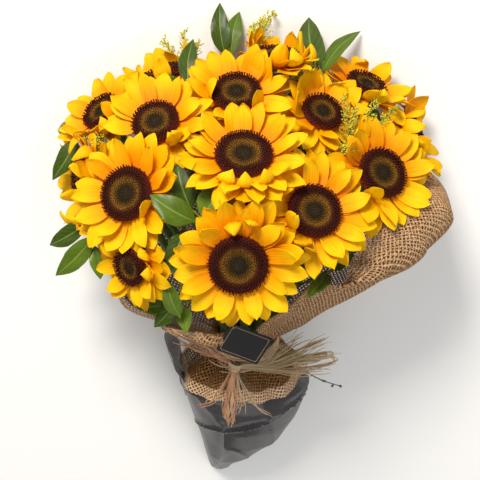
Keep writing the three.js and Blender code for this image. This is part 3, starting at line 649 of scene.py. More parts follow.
@dataclass(frozen=True)
class BurlapFinish(Surface):
    """Natural jute burlap in an open plain weave: dull hairy yarns with square holes between them.

    The yarns are drawn coarser than the real ones, 3.4 mm apart, so that they show in the picture.
    """

    title: ClassVar[str] = "jute_burlap"
    pitch: float = 3.4
    yarn: float = 0.49
    uneven: float = 0.16
    weave: float = 0.16
    yarn_depth: float = 0.0009
    dark: str = "7E5222"
    middle: str = "C69864"
    light: str = "FADFC4"
    shade: str = "56340A"
    roughness: float = 0.9

    def shader(self, tree: Tree) -> Socket:
        """Weave the yarns in the UV map, which counts millimetres of cloth."""
        uv = add_node(tree, "ShaderNodeUVMap", uv_map="UVMap")
        wander = add_node(
            tree, "ShaderNodeTexNoise", {"Vector": uv, "Scale": 0.06, "Detail": 2.0}, out="Color"
        )
        swing = add_node(
            tree, "ShaderNodeVectorMath", {0: wander, 1: (1.6, 1.6, 0.0), 2: uv}, operation="MULTIPLY_ADD"
        )
        cells = add_node(tree, "ShaderNodeVectorMath", {0: swing, "Scale": 1 / self.pitch}, operation="SCALE")
        split = add_node(tree, "ShaderNodeSeparateXYZ", {0: cells}).node.outputs
        slub = add_node(tree, "ShaderNodeTexNoise", {"Vector": uv, "Scale": 0.35, "Detail": 3.0})
        low, high = self.yarn - self.uneven, self.yarn + self.uneven
        width = add_node(tree, "ShaderNodeMapRange", {"Value": slub, "To Min": low, "To Max": high})
        rounds, gaps = [], []
        for axis in ("X", "Y"):
            across = add_node(tree, "ShaderNodeMath", {0: split[axis], 1: 0.5}, operation="PINGPONG")
            rounds.append(add_node(tree, "ShaderNodeMath", {0: across, 1: 2.0}, operation="MULTIPLY"))
            gaps.append(add_node(tree, "ShaderNodeMath", {0: rounds[-1], 1: width}, operation="GREATER_THAN"))
        hole = add_node(tree, "ShaderNodeMath", {0: gaps[0], 1: gaps[1]}, operation="MULTIPLY")
        solid = add_node(tree, "ShaderNodeMath", {0: 1.0, 1: hole}, operation="SUBTRACT")
        moved = add_node(tree, "ShaderNodeVectorMath", {0: cells, 1: (0.5, 0.5, 0.5)}, operation="ADD")
        checker = add_node(tree, "ShaderNodeTexChecker", {"Vector": moved, "Scale": 1.0}, out="Fac")
        under, other = (
            add_node(
                tree, "ShaderNodeMath", {0: checker, 1: sign * self.weave, 2: yarn}, operation="MULTIPLY_ADD"
            )
            for sign, yarn in ((1, rounds[0]), (-1, rounds[1]))
        )
        raised = add_node(tree, "ShaderNodeMath", {0: other, 1: self.weave}, operation="ADD")
        nearer = add_node(tree, "ShaderNodeMath", {0: under, 1: raised}, operation="MINIMUM")
        fibre = add_node(tree, "ShaderNodeTexNoise", {"Vector": uv, "Scale": 2.4, "Detail": 4.0})
        # The colour reads the yarn height too, so a yarn's sides and a yarn where it dips under another are
        # darker: painted shade. The same height drives the bump.
        height = add_node(tree, "ShaderNodeMath", {0: nearer, 1: -0.45, 2: fibre}, operation="MULTIPLY_ADD")
        # The tone paints light and shade: it lightens the hem rows and darkens the skirt below the tie, down
        # to the shade stop.
        hem = add_node(tree, "ShaderNodeAttribute", out="Fac", attribute_name="tone")
        painted_light_and_shade = add_node(tree, "ShaderNodeMath", {0: hem, 1: 0.09, 2: height}, operation="MULTIPLY_ADD")
        level = add_node(tree, "ShaderNodeMath", {0: slub, 1: 0.5, 2: painted_light_and_shade}, operation="MULTIPLY_ADD")
        stops = ((0.3, self.shade), (0.48, self.dark), (0.66, self.middle), (0.9, self.light))
        ramp = add_node(tree, "ShaderNodeValToRGB", {0: level}, stops)
        relief = {"Strength": 0.9, "Distance": self.yarn_depth, "Height": height}
        bump = add_node(tree, "ShaderNodeBump", relief)
        return add_node(tree, "ShaderNodeBsdfPrincipled", {
            "Base Color": ramp, "Alpha": solid, "Roughness": self.roughness, "Normal": bump,
            "Specular IOR Level": 0.2,
        })


@dataclass(frozen=True)
class FilmFinish(Surface):
    """Smoky polypropylene wrapping film: thin, clear, glossy and finely creased."""

    title: ClassVar[str] = "smoky_film"
    tint: str = "2C2428"
    alpha: float = 0.6
    roughness: float = 0.2
    crumples_per_metre: float = 22.0
    waves_per_metre: float = 26.0
    crumple_depth: float = 0.003

    def shader(self, tree: Tree) -> Socket:
        """Crumple the film finely."""
        spot = add_node(tree, "ShaderNodeTexCoord", out="Object")
        crumple = add_node(
            tree, "ShaderNodeTexVoronoi", {"Vector": spot, "Scale": self.crumples_per_metre},
            feature="DISTANCE_TO_EDGE",
        )
        soft = add_node(
            tree, "ShaderNodeTexNoise", {"Vector": spot, "Scale": self.waves_per_metre, "Detail": 3.0}
        )
        height = add_node(tree, "ShaderNodeMath", {0: crumple, 1: 0.8, 2: soft}, operation="MULTIPLY_ADD")
        bump = add_node(
            tree, "ShaderNodeBump", {"Strength": 0.22, "Distance": self.crumple_depth, "Height": height}
        )
        return add_node(tree, "ShaderNodeBsdfPrincipled", {
            "Base Color": linear(self.tint), "Alpha": self.alpha, "Roughness": self.roughness,
            "Normal": bump, "Specular IOR Level": 1.0,
        })


@dataclass(frozen=True)
class RaffiaFinish(Surface):
    """Dry raffia: split palm fibre, pinkish tan and straw, streaked along each strand."""

    title: ClassVar[str] = "dry_raffia"
    dark: str = "6E4630"
    middle: str = "BE8C66"
    light: str = "AE9C78"
    roughness: float = 0.6
    streak: Point = (7.0, 0.12, 1.0)
    fibre_depth: float = 0.0004

    def shader(self, tree: Tree) -> Socket:
        """Streak each strand by its UV map, which runs along it in millimetres."""
        uv = add_node(tree, "ShaderNodeUVMap", uv_map="UVMap")
        tone = add_node(tree, "ShaderNodeAttribute", out="Fac", attribute_name="tone")
        stretch = add_node(tree, "ShaderNodeMapping", {"Vector": uv, "Scale": self.streak})
        streak = add_node(tree, "ShaderNodeTexNoise", {"Vector": stretch, "Scale": 1.0, "Detail": 4.0})
        level = add_node(tree, "ShaderNodeMath", {0: streak, 1: 0.6, 2: tone}, operation="MULTIPLY_ADD")
        stops = ((0.15, self.dark), (0.55, self.middle), (1.0, self.light))
        ramp = add_node(tree, "ShaderNodeValToRGB", {0: level}, stops)
        bump = add_node(
            tree, "ShaderNodeBump", {"Strength": 0.6, "Distance": self.fibre_depth, "Height": streak}
        )
        return add_node(tree, "ShaderNodeBsdfPrincipled", {
            "Base Color": ramp, "Roughness": self.roughness, "Normal": bump,
        })


@dataclass(frozen=True)
class CardFinish(Surface):
    """Dark satin card: coated board that is nearly black brown, with a thin pale printed line."""

    title: ClassVar[str] = "dark_card"
    board: str = "0A0504"
    line: str = "A88C66"
    grains_per_metre: float = 800.0

    def shader(self, tree: Tree) -> Socket:
        """Colour by the tone, which is 0 on the board and 1 on the printed line."""
        tone = add_node(tree, "ShaderNodeAttribute", out="Fac", attribute_name="tone")
        spot = add_node(tree, "ShaderNodeTexCoord", out="Object")
        fine = add_node(
            tree, "ShaderNodeTexNoise", {"Vector": spot, "Scale": self.grains_per_metre, "Detail": 2.0}
        )
        colours = {0: tone, 6: linear(self.board), 7: linear(self.line)}
        mixed = add_node(tree, "ShaderNodeMix", colours, out=2, data_type="RGBA")
        rough = add_node(tree, "ShaderNodeMapRange", {"Value": fine, "To Min": 0.32, "To Max": 0.5})
        return add_node(tree, "ShaderNodeBsdfPrincipled", {
            "Base Color": mixed, "Roughness": rough, "Specular IOR Level": 0.25,
        })


@dataclass(frozen=True)
class TwigFinish(GrainFinish):
    """Dry grey-green twig with rough bark."""

    title: ClassVar[str] = "dry_twig_bark"
    stops: tuple[tuple[float, str], ...] = ((0.3, "2F3A34"), (0.7, "7C877C"))
    roughness: float = 0.85
    relief: float = 0.7


@dataclass(frozen=True)
class PaperFinish(Surface):
    """Pale matt paper: the surface that the bunch lies on."""

    title: ClassVar[str] = "pale_surface"
    colour: str = "F2F1EE"
    roughness: float = 0.85

    def shader(self, tree: Tree) -> Socket:
        """Make one even colour."""
        return add_node(tree, "ShaderNodeBsdfPrincipled", {
            "Base Color": linear(self.colour), "Roughness": self.roughness,
        })


class Finish(Enum):
    """The finishes, by what they dress."""

    PETAL = PetalFinish()
    FLORET = FloretFinish()
    LEAF = LeafFinish()
    STEM = StemFinish()
    GOLDENROD = GoldenrodFinish()
    BURLAP = BurlapFinish()
    FILM = FilmFinish()
    RAFFIA = RaffiaFinish()
    CARD = CardFinish()
    TWIG = TwigFinish()
    PAPER = PaperFinish()


class Wardrobe:
    """The materials, each made once."""

    def __init__(self) -> None:
        """Start with none."""
        self.made: dict[Finish, Material] = {}

    def get(self, finish: Finish) -> Material:
        """Return a finish's material, made the first time it is asked for."""
        if finish not in self.made:
            self.made[finish] = finish.value.material()
        return self.made[finish]


def scatter_tree() -> Tree:
    """Make the Geometry Nodes tree that stands small pieces on points.

    Each point has a direction that the piece's Z axis takes, a size and a ring number that it keeps.

    Returns:
        The node tree, with named inputs for the piece, its size, the seed and the material.
    """
    tree = bpy.data.node_groups.new("stand_pieces_on_points", "GeometryNodeTree")
    for label, kind in (
        ("Points", "Geometry"), ("Piece", "Object"), ("Size", "Float"), ("Seed", "Int"),
        ("Material", "Material"),
    ):
        tree.interface.new_socket(label, in_out="INPUT", socket_type=f"NodeSocket{kind}")
    tree.interface.new_socket("Geometry", in_out="OUTPUT", socket_type="NodeSocketGeometry")
    given = add_node(tree, "NodeGroupInput").node.outputs
    facing, size = (
        add_node(tree, "GeometryNodeInputNamedAttribute", {"Name": name}, data_type="FLOAT_VECTOR")
        for name in ("facing", "size")
    )
    piece = add_node(tree, "GeometryNodeObjectInfo", {"Object": given["Piece"]}, out="Geometry")
    aligned = add_node(tree, "FunctionNodeAlignRotationToVector", {"Vector": facing}, axis="Z")
    turns = {"Min": (0.0, 0.0, 0.0), "Max": (0.0, 0.0, FULL_TURN), "Seed": given["Seed"]}
    spin = add_node(tree, "FunctionNodeRandomValue", turns, data_type="FLOAT_VECTOR")
    turned = add_node(
        tree, "FunctionNodeRotateRotation", {"Rotation": aligned, "Rotate By": spin}, rotation_space="LOCAL"
    )
    scaled = add_node(tree, "ShaderNodeVectorMath", {0: size, "Scale": given["Size"]}, operation="SCALE")
    stood = add_node(tree, "GeometryNodeInstanceOnPoints", {
        "Points": given["Points"], "Instance": piece, "Rotation": turned, "Scale": scaled,
    })
    real = add_node(tree, "GeometryNodeRealizeInstances", {"Geometry": stood})
    dressed = add_node(tree, "GeometryNodeSetMaterial", {"Geometry": real, "Material": given["Material"]})
    add_node(tree, "NodeGroupOutput", {"Geometry": dressed})
    return tree


class Scatter:
    """Small repeated pieces that stand on points, made by one Geometry Nodes tree."""

    def __init__(self) -> None:
        """Make the tree."""
        self.tree = scatter_tree()

    def stand(
        self, name: str, piece: Piece, points: Array, facing: Array, sizes: Array, rings: Array,
        material: Material, seed: int,
    ) -> Piece:
        """Stand a piece on every point.

        Args:
            name: the name of the result.
            piece: a small object whose Z axis points out, in millimetres.
            points: where the pieces stand, in millimetres.
            facing: the direction of each one's Z axis.
            sizes: the scale of each along its own axes.
            rings: the number that the finish reads for each.
            material: the material of them all.
            seed: the seed of their random turns.

        Returns:
            A plain mesh object.
        """
        mesh = bpy.data.meshes.new(name)
        mesh.from_pydata((points * METRE).tolist(), [], [])
        for label, values in (("facing", facing), ("size", sizes), ("ring", rings)):
            add_attribute(mesh, label, values)
        carrier = new_object(name, mesh)
        modifier = carrier.modifiers.new("stand", "NODES")
        modifier.node_group = self.tree
        items = self.tree.interface.items_tree
        sockets = {item.name: item.identifier for item in items if item.in_out == "INPUT"}
        for label, value in (("Piece", piece), ("Size", METRE), ("Seed", seed), ("Material", material)):
            modifier[sockets[label]] = value
        graph = bpy.context.evaluated_depsgraph_get()
        plain = bpy.data.meshes.new_from_object(carrier.evaluated_get(graph))
        plain.name = name
        bpy.data.objects.remove(carrier)
        return new_object(name, plain)


def small_piece(name: str, profile: Table, sides: int, star: float = 0.0) -> Piece:
    """Make a small turned piece to repeat.

    Args:
        name: its name.
        profile: rows of radius and height.
        sides: how many sides it has.
        star: how far every other point of its last row is drawn in, as a share.

    Returns:
        The new object, which isn't rendered by itself.
    """
    points = []
    for level, (radius, height) in enumerate(profile):
        for k in range(sides):
            turn = FULL_TURN * k / sides
            size = radius * (1 - star * (k % 2)) if level == len(profile) - 1 else radius
            points.append((size * math.cos(turn), size * math.sin(turn), height))
    faces = grid_faces(len(profile), sides, wrap=True)
    faces.append(tuple(range((len(profile) - 1) * sides, len(profile) * sides)))
    mesh = bpy.data.meshes.new(name)
    mesh.from_pydata(points, [], faces)
    mesh.shade_smooth()
    piece = new_object(name, mesh)
    piece.hide_render = True
    return piece


def join_pieces(name: str, pieces: Sequence[Piece]) -> Piece:
    """Join mesh objects that share one material.

    Args:
        name: the name of the result.
        pieces: the objects, which are removed.

    Returns:
        One object.
    """
    work = bmesh.new()
    for piece in pieces:
        work.from_mesh(piece.data)
    for face in work.faces:
        face.material_index = 0
    whole = bpy.data.meshes.new(name)
    work.to_mesh(whole)
    work.free()
    whole.materials.append(pieces[0].data.materials[0])
    for piece in pieces:
        bpy.data.objects.remove(piece)
    return new_object(name, whole)


def hand_in(piece: Piece, slot: str, *nodes: str) -> None:
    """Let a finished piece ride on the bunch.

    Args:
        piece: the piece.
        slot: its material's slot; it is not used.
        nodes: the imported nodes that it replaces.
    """
    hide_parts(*nodes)
    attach(piece, BODY)
    piece.data.calc_loop_triangles()
    LOG.info("%s: %d triangles for %s", piece.name, len(piece.data.loop_triangles), ", ".join(nodes))


@dataclass(frozen=True)
class Obstacle:
    """A surface that later petals and leaves are bent clear of."""

    owner: str
    low: Array
    high: Array
    tree: BVHTree


class Clearance:
    """What is placed already, and whether a new surface is clear of it."""

    def __init__(self) -> None:
        """Start with nothing placed."""
        self.placed: list[Obstacle] = []

    @staticmethod
    def surface(owner: str, points: Array, faces: Sequence[Face]) -> Obstacle:
        """Return a surface ready to be tested."""
        return Obstacle(owner, points.min(0), points.max(0), BVHTree.FromPolygons(points.tolist(), faces))

    def add(self, owner: str, points: Array, faces: Sequence[Face]) -> None:
        """Place a surface."""
        self.placed.append(self.surface(owner, points.reshape(-1, 3), faces))

    def take(self, owner: str, points: Array, faces: Sequence[Face]) -> bool:
        """Place a surface if it has room.

        Args:
            owner: whose it is, since it may cut through what the same owner placed.
            points: its points.
            faces: its faces.

        Returns:
            Whether it had room.
        """
        new = self.surface(owner, points.reshape(-1, 3), faces)
        if new.low[2] < FLOOR_GAP:
            return False
        for other in self.placed:
            if other.owner == owner or (other.low > new.high).any() or (new.low > other.high).any():
                continue
            if other.tree.overlap(new.tree):
                return False
        self.placed.append(new)
        return True


@dataclass(frozen=True)
class BloomFrame:
    """Where a bloom is and which way it faces."""

    centre: Array
    normal: Array
    across: Array
    over: Array

    def radial(self, turn: float) -> Array:
        """Return the direction out from the middle at an angle."""
        return self.across * math.cos(turn) + self.over * math.sin(turn)

    def point(self, turn: float, radius: float, height: float) -> Array:
        """Return a point of the bloom."""
        return self.centre + self.radial(turn) * radius + self.normal * height


@dataclass(frozen=True)
class Bloom:
    """One sunflower head: its place on the dome, how it leans and how large it is.

    Each curled petal has an angle round the head, how far it curls over the disc and a share of the length.
    """

    number: int
    at: tuple[float, float]
    off: float
    tilt: float
    lean: float
    disc: float
    petals: int
    reach: float
    curled: tuple[Point, ...] = ()

    @property
    def name(self) -> str:
        """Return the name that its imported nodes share."""
        return f"bloom_{self.number:02d}"

    @property
    def hub(self) -> float:
        """Return the radius of the hub that its petals grow from."""
        return self.disc * HUB_SHARE

    @property
    def frame(self) -> BloomFrame:
        """Return its frame."""
        tilt, lean = math.radians(self.tilt), math.radians(self.lean)
        normal = OUT * math.cos(tilt) + math.sin(tilt) * (RIGHT * math.cos(lean) + UP * math.sin(lean))
        across = unit(RIGHT - normal * float(np.dot(RIGHT, normal)))
        return BloomFrame(on_dome(*self.at, self.off), normal, across, np.cross(normal, across))


def folded_from(middle: float, count: int = 5) -> tuple[Point, ...]:
    """Return petals that fold over a disc from one side of it."""
    half = (count - 1) / 2
    return tuple((middle + 35 * (i - half), 0.95 - 0.12 * abs(i - half), 1.2) for i in range(count))


BLOOMS = (
    Bloom(1, (-7, -57), 14, 27, -90, 56, 12, 35, ((98, 0.9, 0.9), (72, 0.55, 0.9))),
    Bloom(2, (-2, 43), 15, 23, 90, 55, 12, 35, ((-118, 1.0, 0.9), (-88, 0.85, 0.9), (-60, 0.75, 0.9))),
    Bloom(3, (62, -7), 7, 12, 9, 52, 12, 35, ((150, 0.5, 0.9),)),
    Bloom(4, (-110, 13), 8, 24, 187, 54, 12, 34),
    Bloom(5, (128, 36), 4, 22, 13, 51, 11, 34),
    Bloom(6, (-9, 113), 3, 22, 90, 49, 11, 34),
    Bloom(7, (-85, 83), 8, 18, 127, 47, 11, 34, ((-48, 1.0, 0.9),)),
    Bloom(8, (-106, -52), -6, 46, 216, 37, 10, 25, ((0, 1.0, 0.9), (40, 0.6, 0.9))),
    Bloom(9, (73, 98), -6, 25, 48, 42, 11, 31, ((20, 0.8, 0.9), (66, 0.6, 0.9))),
    Bloom(10, (119, 134), -4, 44, 62, 42, 10, 31, ((96, 0.8, 0.9), (-60, 0.8, 0.9))),
    Bloom(11, (31, 157), 4, 52, 85, 44, 10, 30, folded_from(-95)),
    Bloom(12, (-141, 108), -10, 38, 142, 43, 10, 32, folded_from(-38, 3)),
    Bloom(13, (-82, 145), -12, 57, 113, 44, 10, 35, folded_from(-67)),
    Bloom(14, (-158, 42), -26, 62, 188, 44, 10, 40, folded_from(8, 7)),
    Bloom(15, (164, 88), -16, 60, 8, 44, 10, 35, folded_from(188)),
    Bloom(16, (-28, 146), -26, 62, 98, 42, 9, 28, folded_from(-82)),
    Bloom(17, (15, -5), -25, 12, 90, 38, 8, 22),
)

FRONT_TO_BACK = (1, 2, 3, 4, 5, 7, 6, 8, 9, 12, 10, 11, 15, 13, 14, 16, 17)


@dataclass(frozen=True)
class PetalLayer:
    """A ring of petals: its level on the hub, how it rises and its share of the sizes."""

    level: float
    first: float
    rise: float
    width: float
    offset: float
    length: float
    share: float


LAYERS = (
    PetalLayer(-4.9, -0.02, 0.0, 1.0, 0.0, 1.0, 1.0),
    PetalLayer(-3.1, 0.05, 0.2, 0.97, 0.5, 0.98, 1.0),
    PetalLayer(-1.3, 0.14, 0.42, 0.88, 0.25, 0.86, 0.75),
)


@dataclass(frozen=True)
class PetalShape:
    """How one petal lies: its rise, curl, sideways sway, roll, length share, width and cup."""

    level: float
    first: float
    rise: float
    curl: float
    sway: float
    roll: float
    length: float
    width: float
    cup: float
    phase: float
    bend_from: float = 0.08


@dataclass
class Petals:
    """The ray petals of one bloom on their hub, bent clear of what is placed before them."""

    bloom: Bloom
    clearance: Clearance
    rows: int = 13
    columns: int = 7
    thick: float = 0.5
    root: float = 5.0
    widest: float = 19.5
    fullness: float = 0.92
    bends: tuple[float, ...] = (0, 6, -6, 12, 20, -12, 30, 42, 56, 70)
    lengths: tuple[float, ...] = (1.0, 0.86, 0.72)
    outline: Table = (
        (0, 0.36), (0.12, 0.5), (0.28, 0.8), (0.45, 0.98), (0.6, 1.0), (0.76, 0.9), (0.88, 0.64),
        (0.95, 0.36), (1.0, 0.07),
    )
    random: np.random.Generator = field(init=False)

    def __post_init__(self) -> None:
        """Seed the bloom's own random numbers."""
        self.random = np.random.default_rng(500 + self.bloom.number)

    def grid(self, turn: float, shape: PetalShape) -> tuple[Array, Array]:
        """Lay out one petal.

        Args:
            turn: its angle round the head.
            shape: how it lies.

        Returns:
            Its grid of points and the direction of its upper face at each.
        """
        frame = self.bloom.frame
        radial = frame.radial(turn)
        side = np.cross(frame.normal, radial)
        part = np.linspace(0, 1, self.rows)
        start = self.bloom.hub - self.root
        total = self.bloom.disc * (0.5 - HUB_SHARE) + self.root + self.bloom.reach * shape.length
        angle = shape.first + shape.rise * ease(part, shape.bend_from, shape.bend_from + 0.52)
        angle = angle + shape.curl * ease(part, 0.5, 1.0)
        steps = (angle[1:] + angle[:-1]) / 2
        step = total / (self.rows - 1)
        out = start + np.concatenate([[0], np.cumsum(np.cos(steps) * step)])
        high = shape.level + np.concatenate([[0], np.cumsum(np.sin(steps) * step)])
        middle = frame.centre + radial * out[:, None] + frame.normal * high[:, None]
        middle = middle + side * (shape.sway * total * part**2)[:, None]
        up = frame.normal * np.cos(angle)[:, None] - radial * np.sin(angle)[:, None]
        side, up = rolled(side, up, (shape.roll * part)[:, None])
        half = shape.width / 2 * np.interp(part, *zip(*self.outline))
        across = np.linspace(-1, 1, self.columns)
        wave = 0.1 * np.sin(8 * part + shape.phase)[:, None] * across * np.abs(across)
        lift = (shape.cup * across**2 + wave) * shape.width / 2 * ease(part, 0, 0.5)[:, None]
        ridge = 0.35 * np.cos(2.5 * math.pi * across) * np.minimum(half, 4)[:, None] / 4
        grid = middle[:, None] + side[:, None] * (half[:, None] * across)[..., None]
        return grid + up[:, None] * (lift + ridge)[..., None], up[:, None]

    def draw_shape(self, layer: PetalLayer) -> PetalShape:
        """Draw one petal's shape at random within its layer."""
        pitch = FULL_TURN / self.bloom.petals
        middle = self.bloom.disc / 2 + self.bloom.reach / 2
        draw = self.random.random
        return PetalShape(
            level=layer.level,
            first=layer.first,
            rise=layer.rise + 0.28 * (draw() - 0.5),
            curl=1.2 * (draw() - 0.6),
            sway=0.2 * (draw() - 0.5),
            roll=0.8 * (draw() - 0.5),
            length=layer.length * (0.86 + 0.24 * draw()),
            width=min(pitch * middle * self.fullness, self.widest) * layer.width * (0.88 + 0.2 * draw()),
            cup=0.06 + 0.34 * draw() - 0.12,
            phase=FULL_TURN * draw(),
        )

    def draw_all(self) -> list[tuple[float, PetalShape]]:
        """Return the angle and the shape of each petal, with those that curl over the disc last."""
        lying = []
        for layer in LAYERS:
            count = round(self.bloom.petals * layer.share)
            for i in range(count):
                turn = (i + layer.offset + 0.3 * (self.random.random() - 0.5)) * FULL_TURN / count
                lying.append((turn, self.draw_shape(layer)))
        for degrees, amount, length in self.bloom.curled:
            shape = replace(
                self.draw_shape(LAYERS[-1]), level=-0.9, first=0.1, rise=1.9 * amount, curl=1.1 * amount,
                length=length, cup=0.3, roll=0.1, bend_from=0.32,
            )
            lying.append((math.radians(degrees), shape))
        return lying

    def settle(self, turn: float, shape: PetalShape) -> tuple[Array, Array] | None:
        """Bend or shorten a petal until it is clear.

        Args:
            turn: its angle round the head.
            shape: how it lies when nothing is in its way.

        Returns:
            Its grid and upward directions, or None where it has no room.
        """
        faces = grid_faces(self.rows, self.columns)
        for length in self.lengths:
            for bend in self.bends:
                tried = replace(shape, rise=shape.rise + math.radians(bend), length=shape.length * length)
                grid, up = self.grid(turn, tried)
                if self.clearance.take(self.bloom.name, grid, faces):
                    return grid, up
        return None

    def build(self, wardrobe: Wardrobe) -> Piece:
        """Build the petals and their hub.

        Args:
            wardrobe: the materials.

        Returns:
            One mesh.
        """
        draft = Draft()
        hub = self.bloom.hub
        profile = np.array([(hub * 0.8, -HUB_DEPTH), (hub, -HUB_DEPTH + 0.6), (hub, -0.6), (hub * 0.8, 0)])
        add_turned(draft, self.bloom.frame, profile, 24, 0.0)
        part = np.linspace(0, 1, self.rows)
        plan = plan_of(np.linspace(0, 1, self.columns), part)
        thick = self.thick * np.minimum(1, 1.6 - part)[:, None] * np.ones(self.columns)
        lying = self.draw_all()
        placed = 0
        for turn, shape in lying:
            settled = self.settle(turn, shape)
            if settled is None:
                continue
            shift = self.random.random(2)
            # Painted shade: petals on each head's upper side, towards its frame's over direction, get a lower
            # tone and so a deeper orange; the rest of the tone is random.
            tone = 0.42 - 0.28 * math.sin(turn) + 0.5 * (self.random.random() - 0.5)
            add_shell(draft, *settled, thick, plan + shift * (17, 0), min(max(tone, 0.0), 1.0))
            placed += 1
        LOG.info("%s: %d of %d petals had room", self.bloom.name, placed, len(lying))
        return draft.build(f"{self.bloom.name}_ray_petals", wardrobe.get(Finish.PETAL), 70)


@dataclass
class DiscFlorets:
    """A bloom's disc: a low mound covered with florets in the spirals of a seed head."""

    bloom: Bloom
    scatter: Scatter
    spacing: float = 1.75
    open_from: float = 0.56
    golden_turn: float = math.pi * (3 - math.sqrt(5))
    sides: int = 36
    ring_share: float = 0.84
    inset: float = 0.97
    rings: tuple[float, ...] = (0.78, 0.9, 1.0, 0.95, 0.86, 0.72, 0.55, 0.42, 0.2, 0.02)
    profile: Table = (
        (0.0, 5.4), (0.2, 5.2), (0.42, 4.2), (0.55, 4.2), (0.72, 5.6), (0.86, 5.9), (0.95, 4.6), (1.0, 2.6),
    )

    def height(self, ring: Values) -> Array:
        """Return the mound's height at a share of its radius."""
        return np.interp(ring, *zip(*self.profile))

    def mound(self, material: Material) -> Piece:
        """Build the mound that the florets stand on."""
        draft = Draft()
        rings = np.array(self.rings)
        heights = np.concatenate([[GAP, 1.0], self.height(rings[2:])])
        profile = np.stack([rings * self.bloom.disc / 2 * self.inset, heights], axis=1)
        add_turned(draft, self.bloom.frame, profile, self.sides)
        piece = draft.build("mound", material)
        add_attribute(piece.data, "ring", np.repeat(rings * self.ring_share, self.sides))
        return piece

    def build(self, wardrobe: Wardrobe, open_floret: Piece, bud: Piece) -> Piece:
        """Build the disc.

        Args:
            wardrobe: the materials.
            open_floret: the tube of an open floret.
            bud: a closed floret.

        Returns:
            One mesh of the mound and its florets.
        """
        random = np.random.default_rng(900 + self.bloom.number)
        radius = self.bloom.disc / 2
        count = int((radius / self.spacing) ** 2 * 1.9)
        index = np.arange(count)
        ring = np.sqrt((index + 0.5) / count)
        frame = self.bloom.frame
        radial = around(frame.across, frame.over, index * self.golden_turn)
        foot = frame.centre + radial * (ring * radius * self.inset)[:, None]
        foot = foot + frame.normal * self.height(ring)[:, None]
        lean = np.interp(ring, (0, 0.5, 0.62, 0.85, 1.0), (0.0, -0.25, -0.3, 0.15, 0.6))
        facing = unit(frame.normal + radial * lean[:, None] + 0.16 * (random.random((count, 3)) - 0.5))
        is_open = ring > self.open_from
        wide = np.where(is_open, 1.0, np.interp(ring, (0, 0.5), (0.62, 0.95)))
        tall = np.where(is_open, np.interp(ring, (0.56, 0.8, 1.0), (0.75, 0.95, 0.7)), 1.0)
        material = wardrobe.get(Finish.FLORET)
        pieces = [self.mound(material)]
        for chosen, piece, seed in ((is_open, open_floret, 1), (~is_open, bud, 2)):
            high = tall[chosen] * (0.8 + 0.4 * random.random(int(chosen.sum())))
            sizes = np.stack([wide[chosen], wide[chosen], high], axis=1)
            pieces.append(self.scatter.stand(
                "florets", piece, foot[chosen], facing[chosen], sizes, ring[chosen] * self.ring_share + 0.02,
                material, self.bloom.number * 10 + seed,
            ))
        return join_pieces(f"{self.bloom.name}_disc_florets", pieces)


@dataclass(frozen=True)
class StalkTry:
    """How far a stalk's foot swings round the core, and how its middle bows right and forward."""

    swing: float
    right: float
    front: float


STALK_TRIES = tuple(
    StalkTry(swing, right, front)
    for right, front in (
        (0, 0), (9, 0), (-9, 0), (0, 9), (0, -9), (16, 12), (-16, 12), (16, -14), (-16, -14), (0, -24),
    )
    for swing in (0, 15, -15, 30, -30, 50, -50, 75, -75)
)
STALK_POINTS = 46
STALK_SEEN = 30


def stalk_path(foot: tuple[float, float], base: Array, shape: StalkTry) -> Array:
    """Run a stalk from the top of the tied stems to the base of a sprig.

    Args:
        foot: where it leaves the bundle, to the right and to the back.
        base: where its first leaf or plume starts.
        shape: how it swings and bows.

    Returns:
        The points of its middle line.
    """
    turn = math.radians(shape.swing)
    u = foot[0] * math.cos(turn) + foot[1] * math.sin(turn)
    w = foot[0] * math.sin(turn) - foot[1] * math.cos(turn)
    rise = place(u * 1.15, CORE_TOP + 22, w * 1.15)
    middle = rise + (base - rise) * 0.55 + RIGHT * shape.right + FRONT * shape.front
    below = [place(u * 0.7 - 8, -168, w * 0.5 - 6), place(u * 0.95, -40, w * 0.95)]
    within = [place(u * 0.9, 0, w * 0.9), place(u, CORE_TOP, w)]
    return smooth_path([*below, *within, rise, middle, base], STALK_POINTS)


def settle_stalk(clearance: Clearance, owner: str, foot: tuple[float, float], base: Array) -> Array:
    """Find room for a stalk.

    Args:
        clearance: what is placed already; the stalk is added to it.
        owner: whose the stalk is.
        foot: where it leaves the bundle.
        base: where it ends.

    Returns:
        The first that is clear, or the first of all.
    """
    for shape in STALK_TRIES:
        path = stalk_path(foot, base, shape)
        draft = Draft()
        add_tube(draft, path[STALK_SEEN:], 1.9, 4)
        if clearance.take(owner, draft.points[0], draft.faces):
            return path
    return stalk_path(foot, base, STALK_TRIES[0])


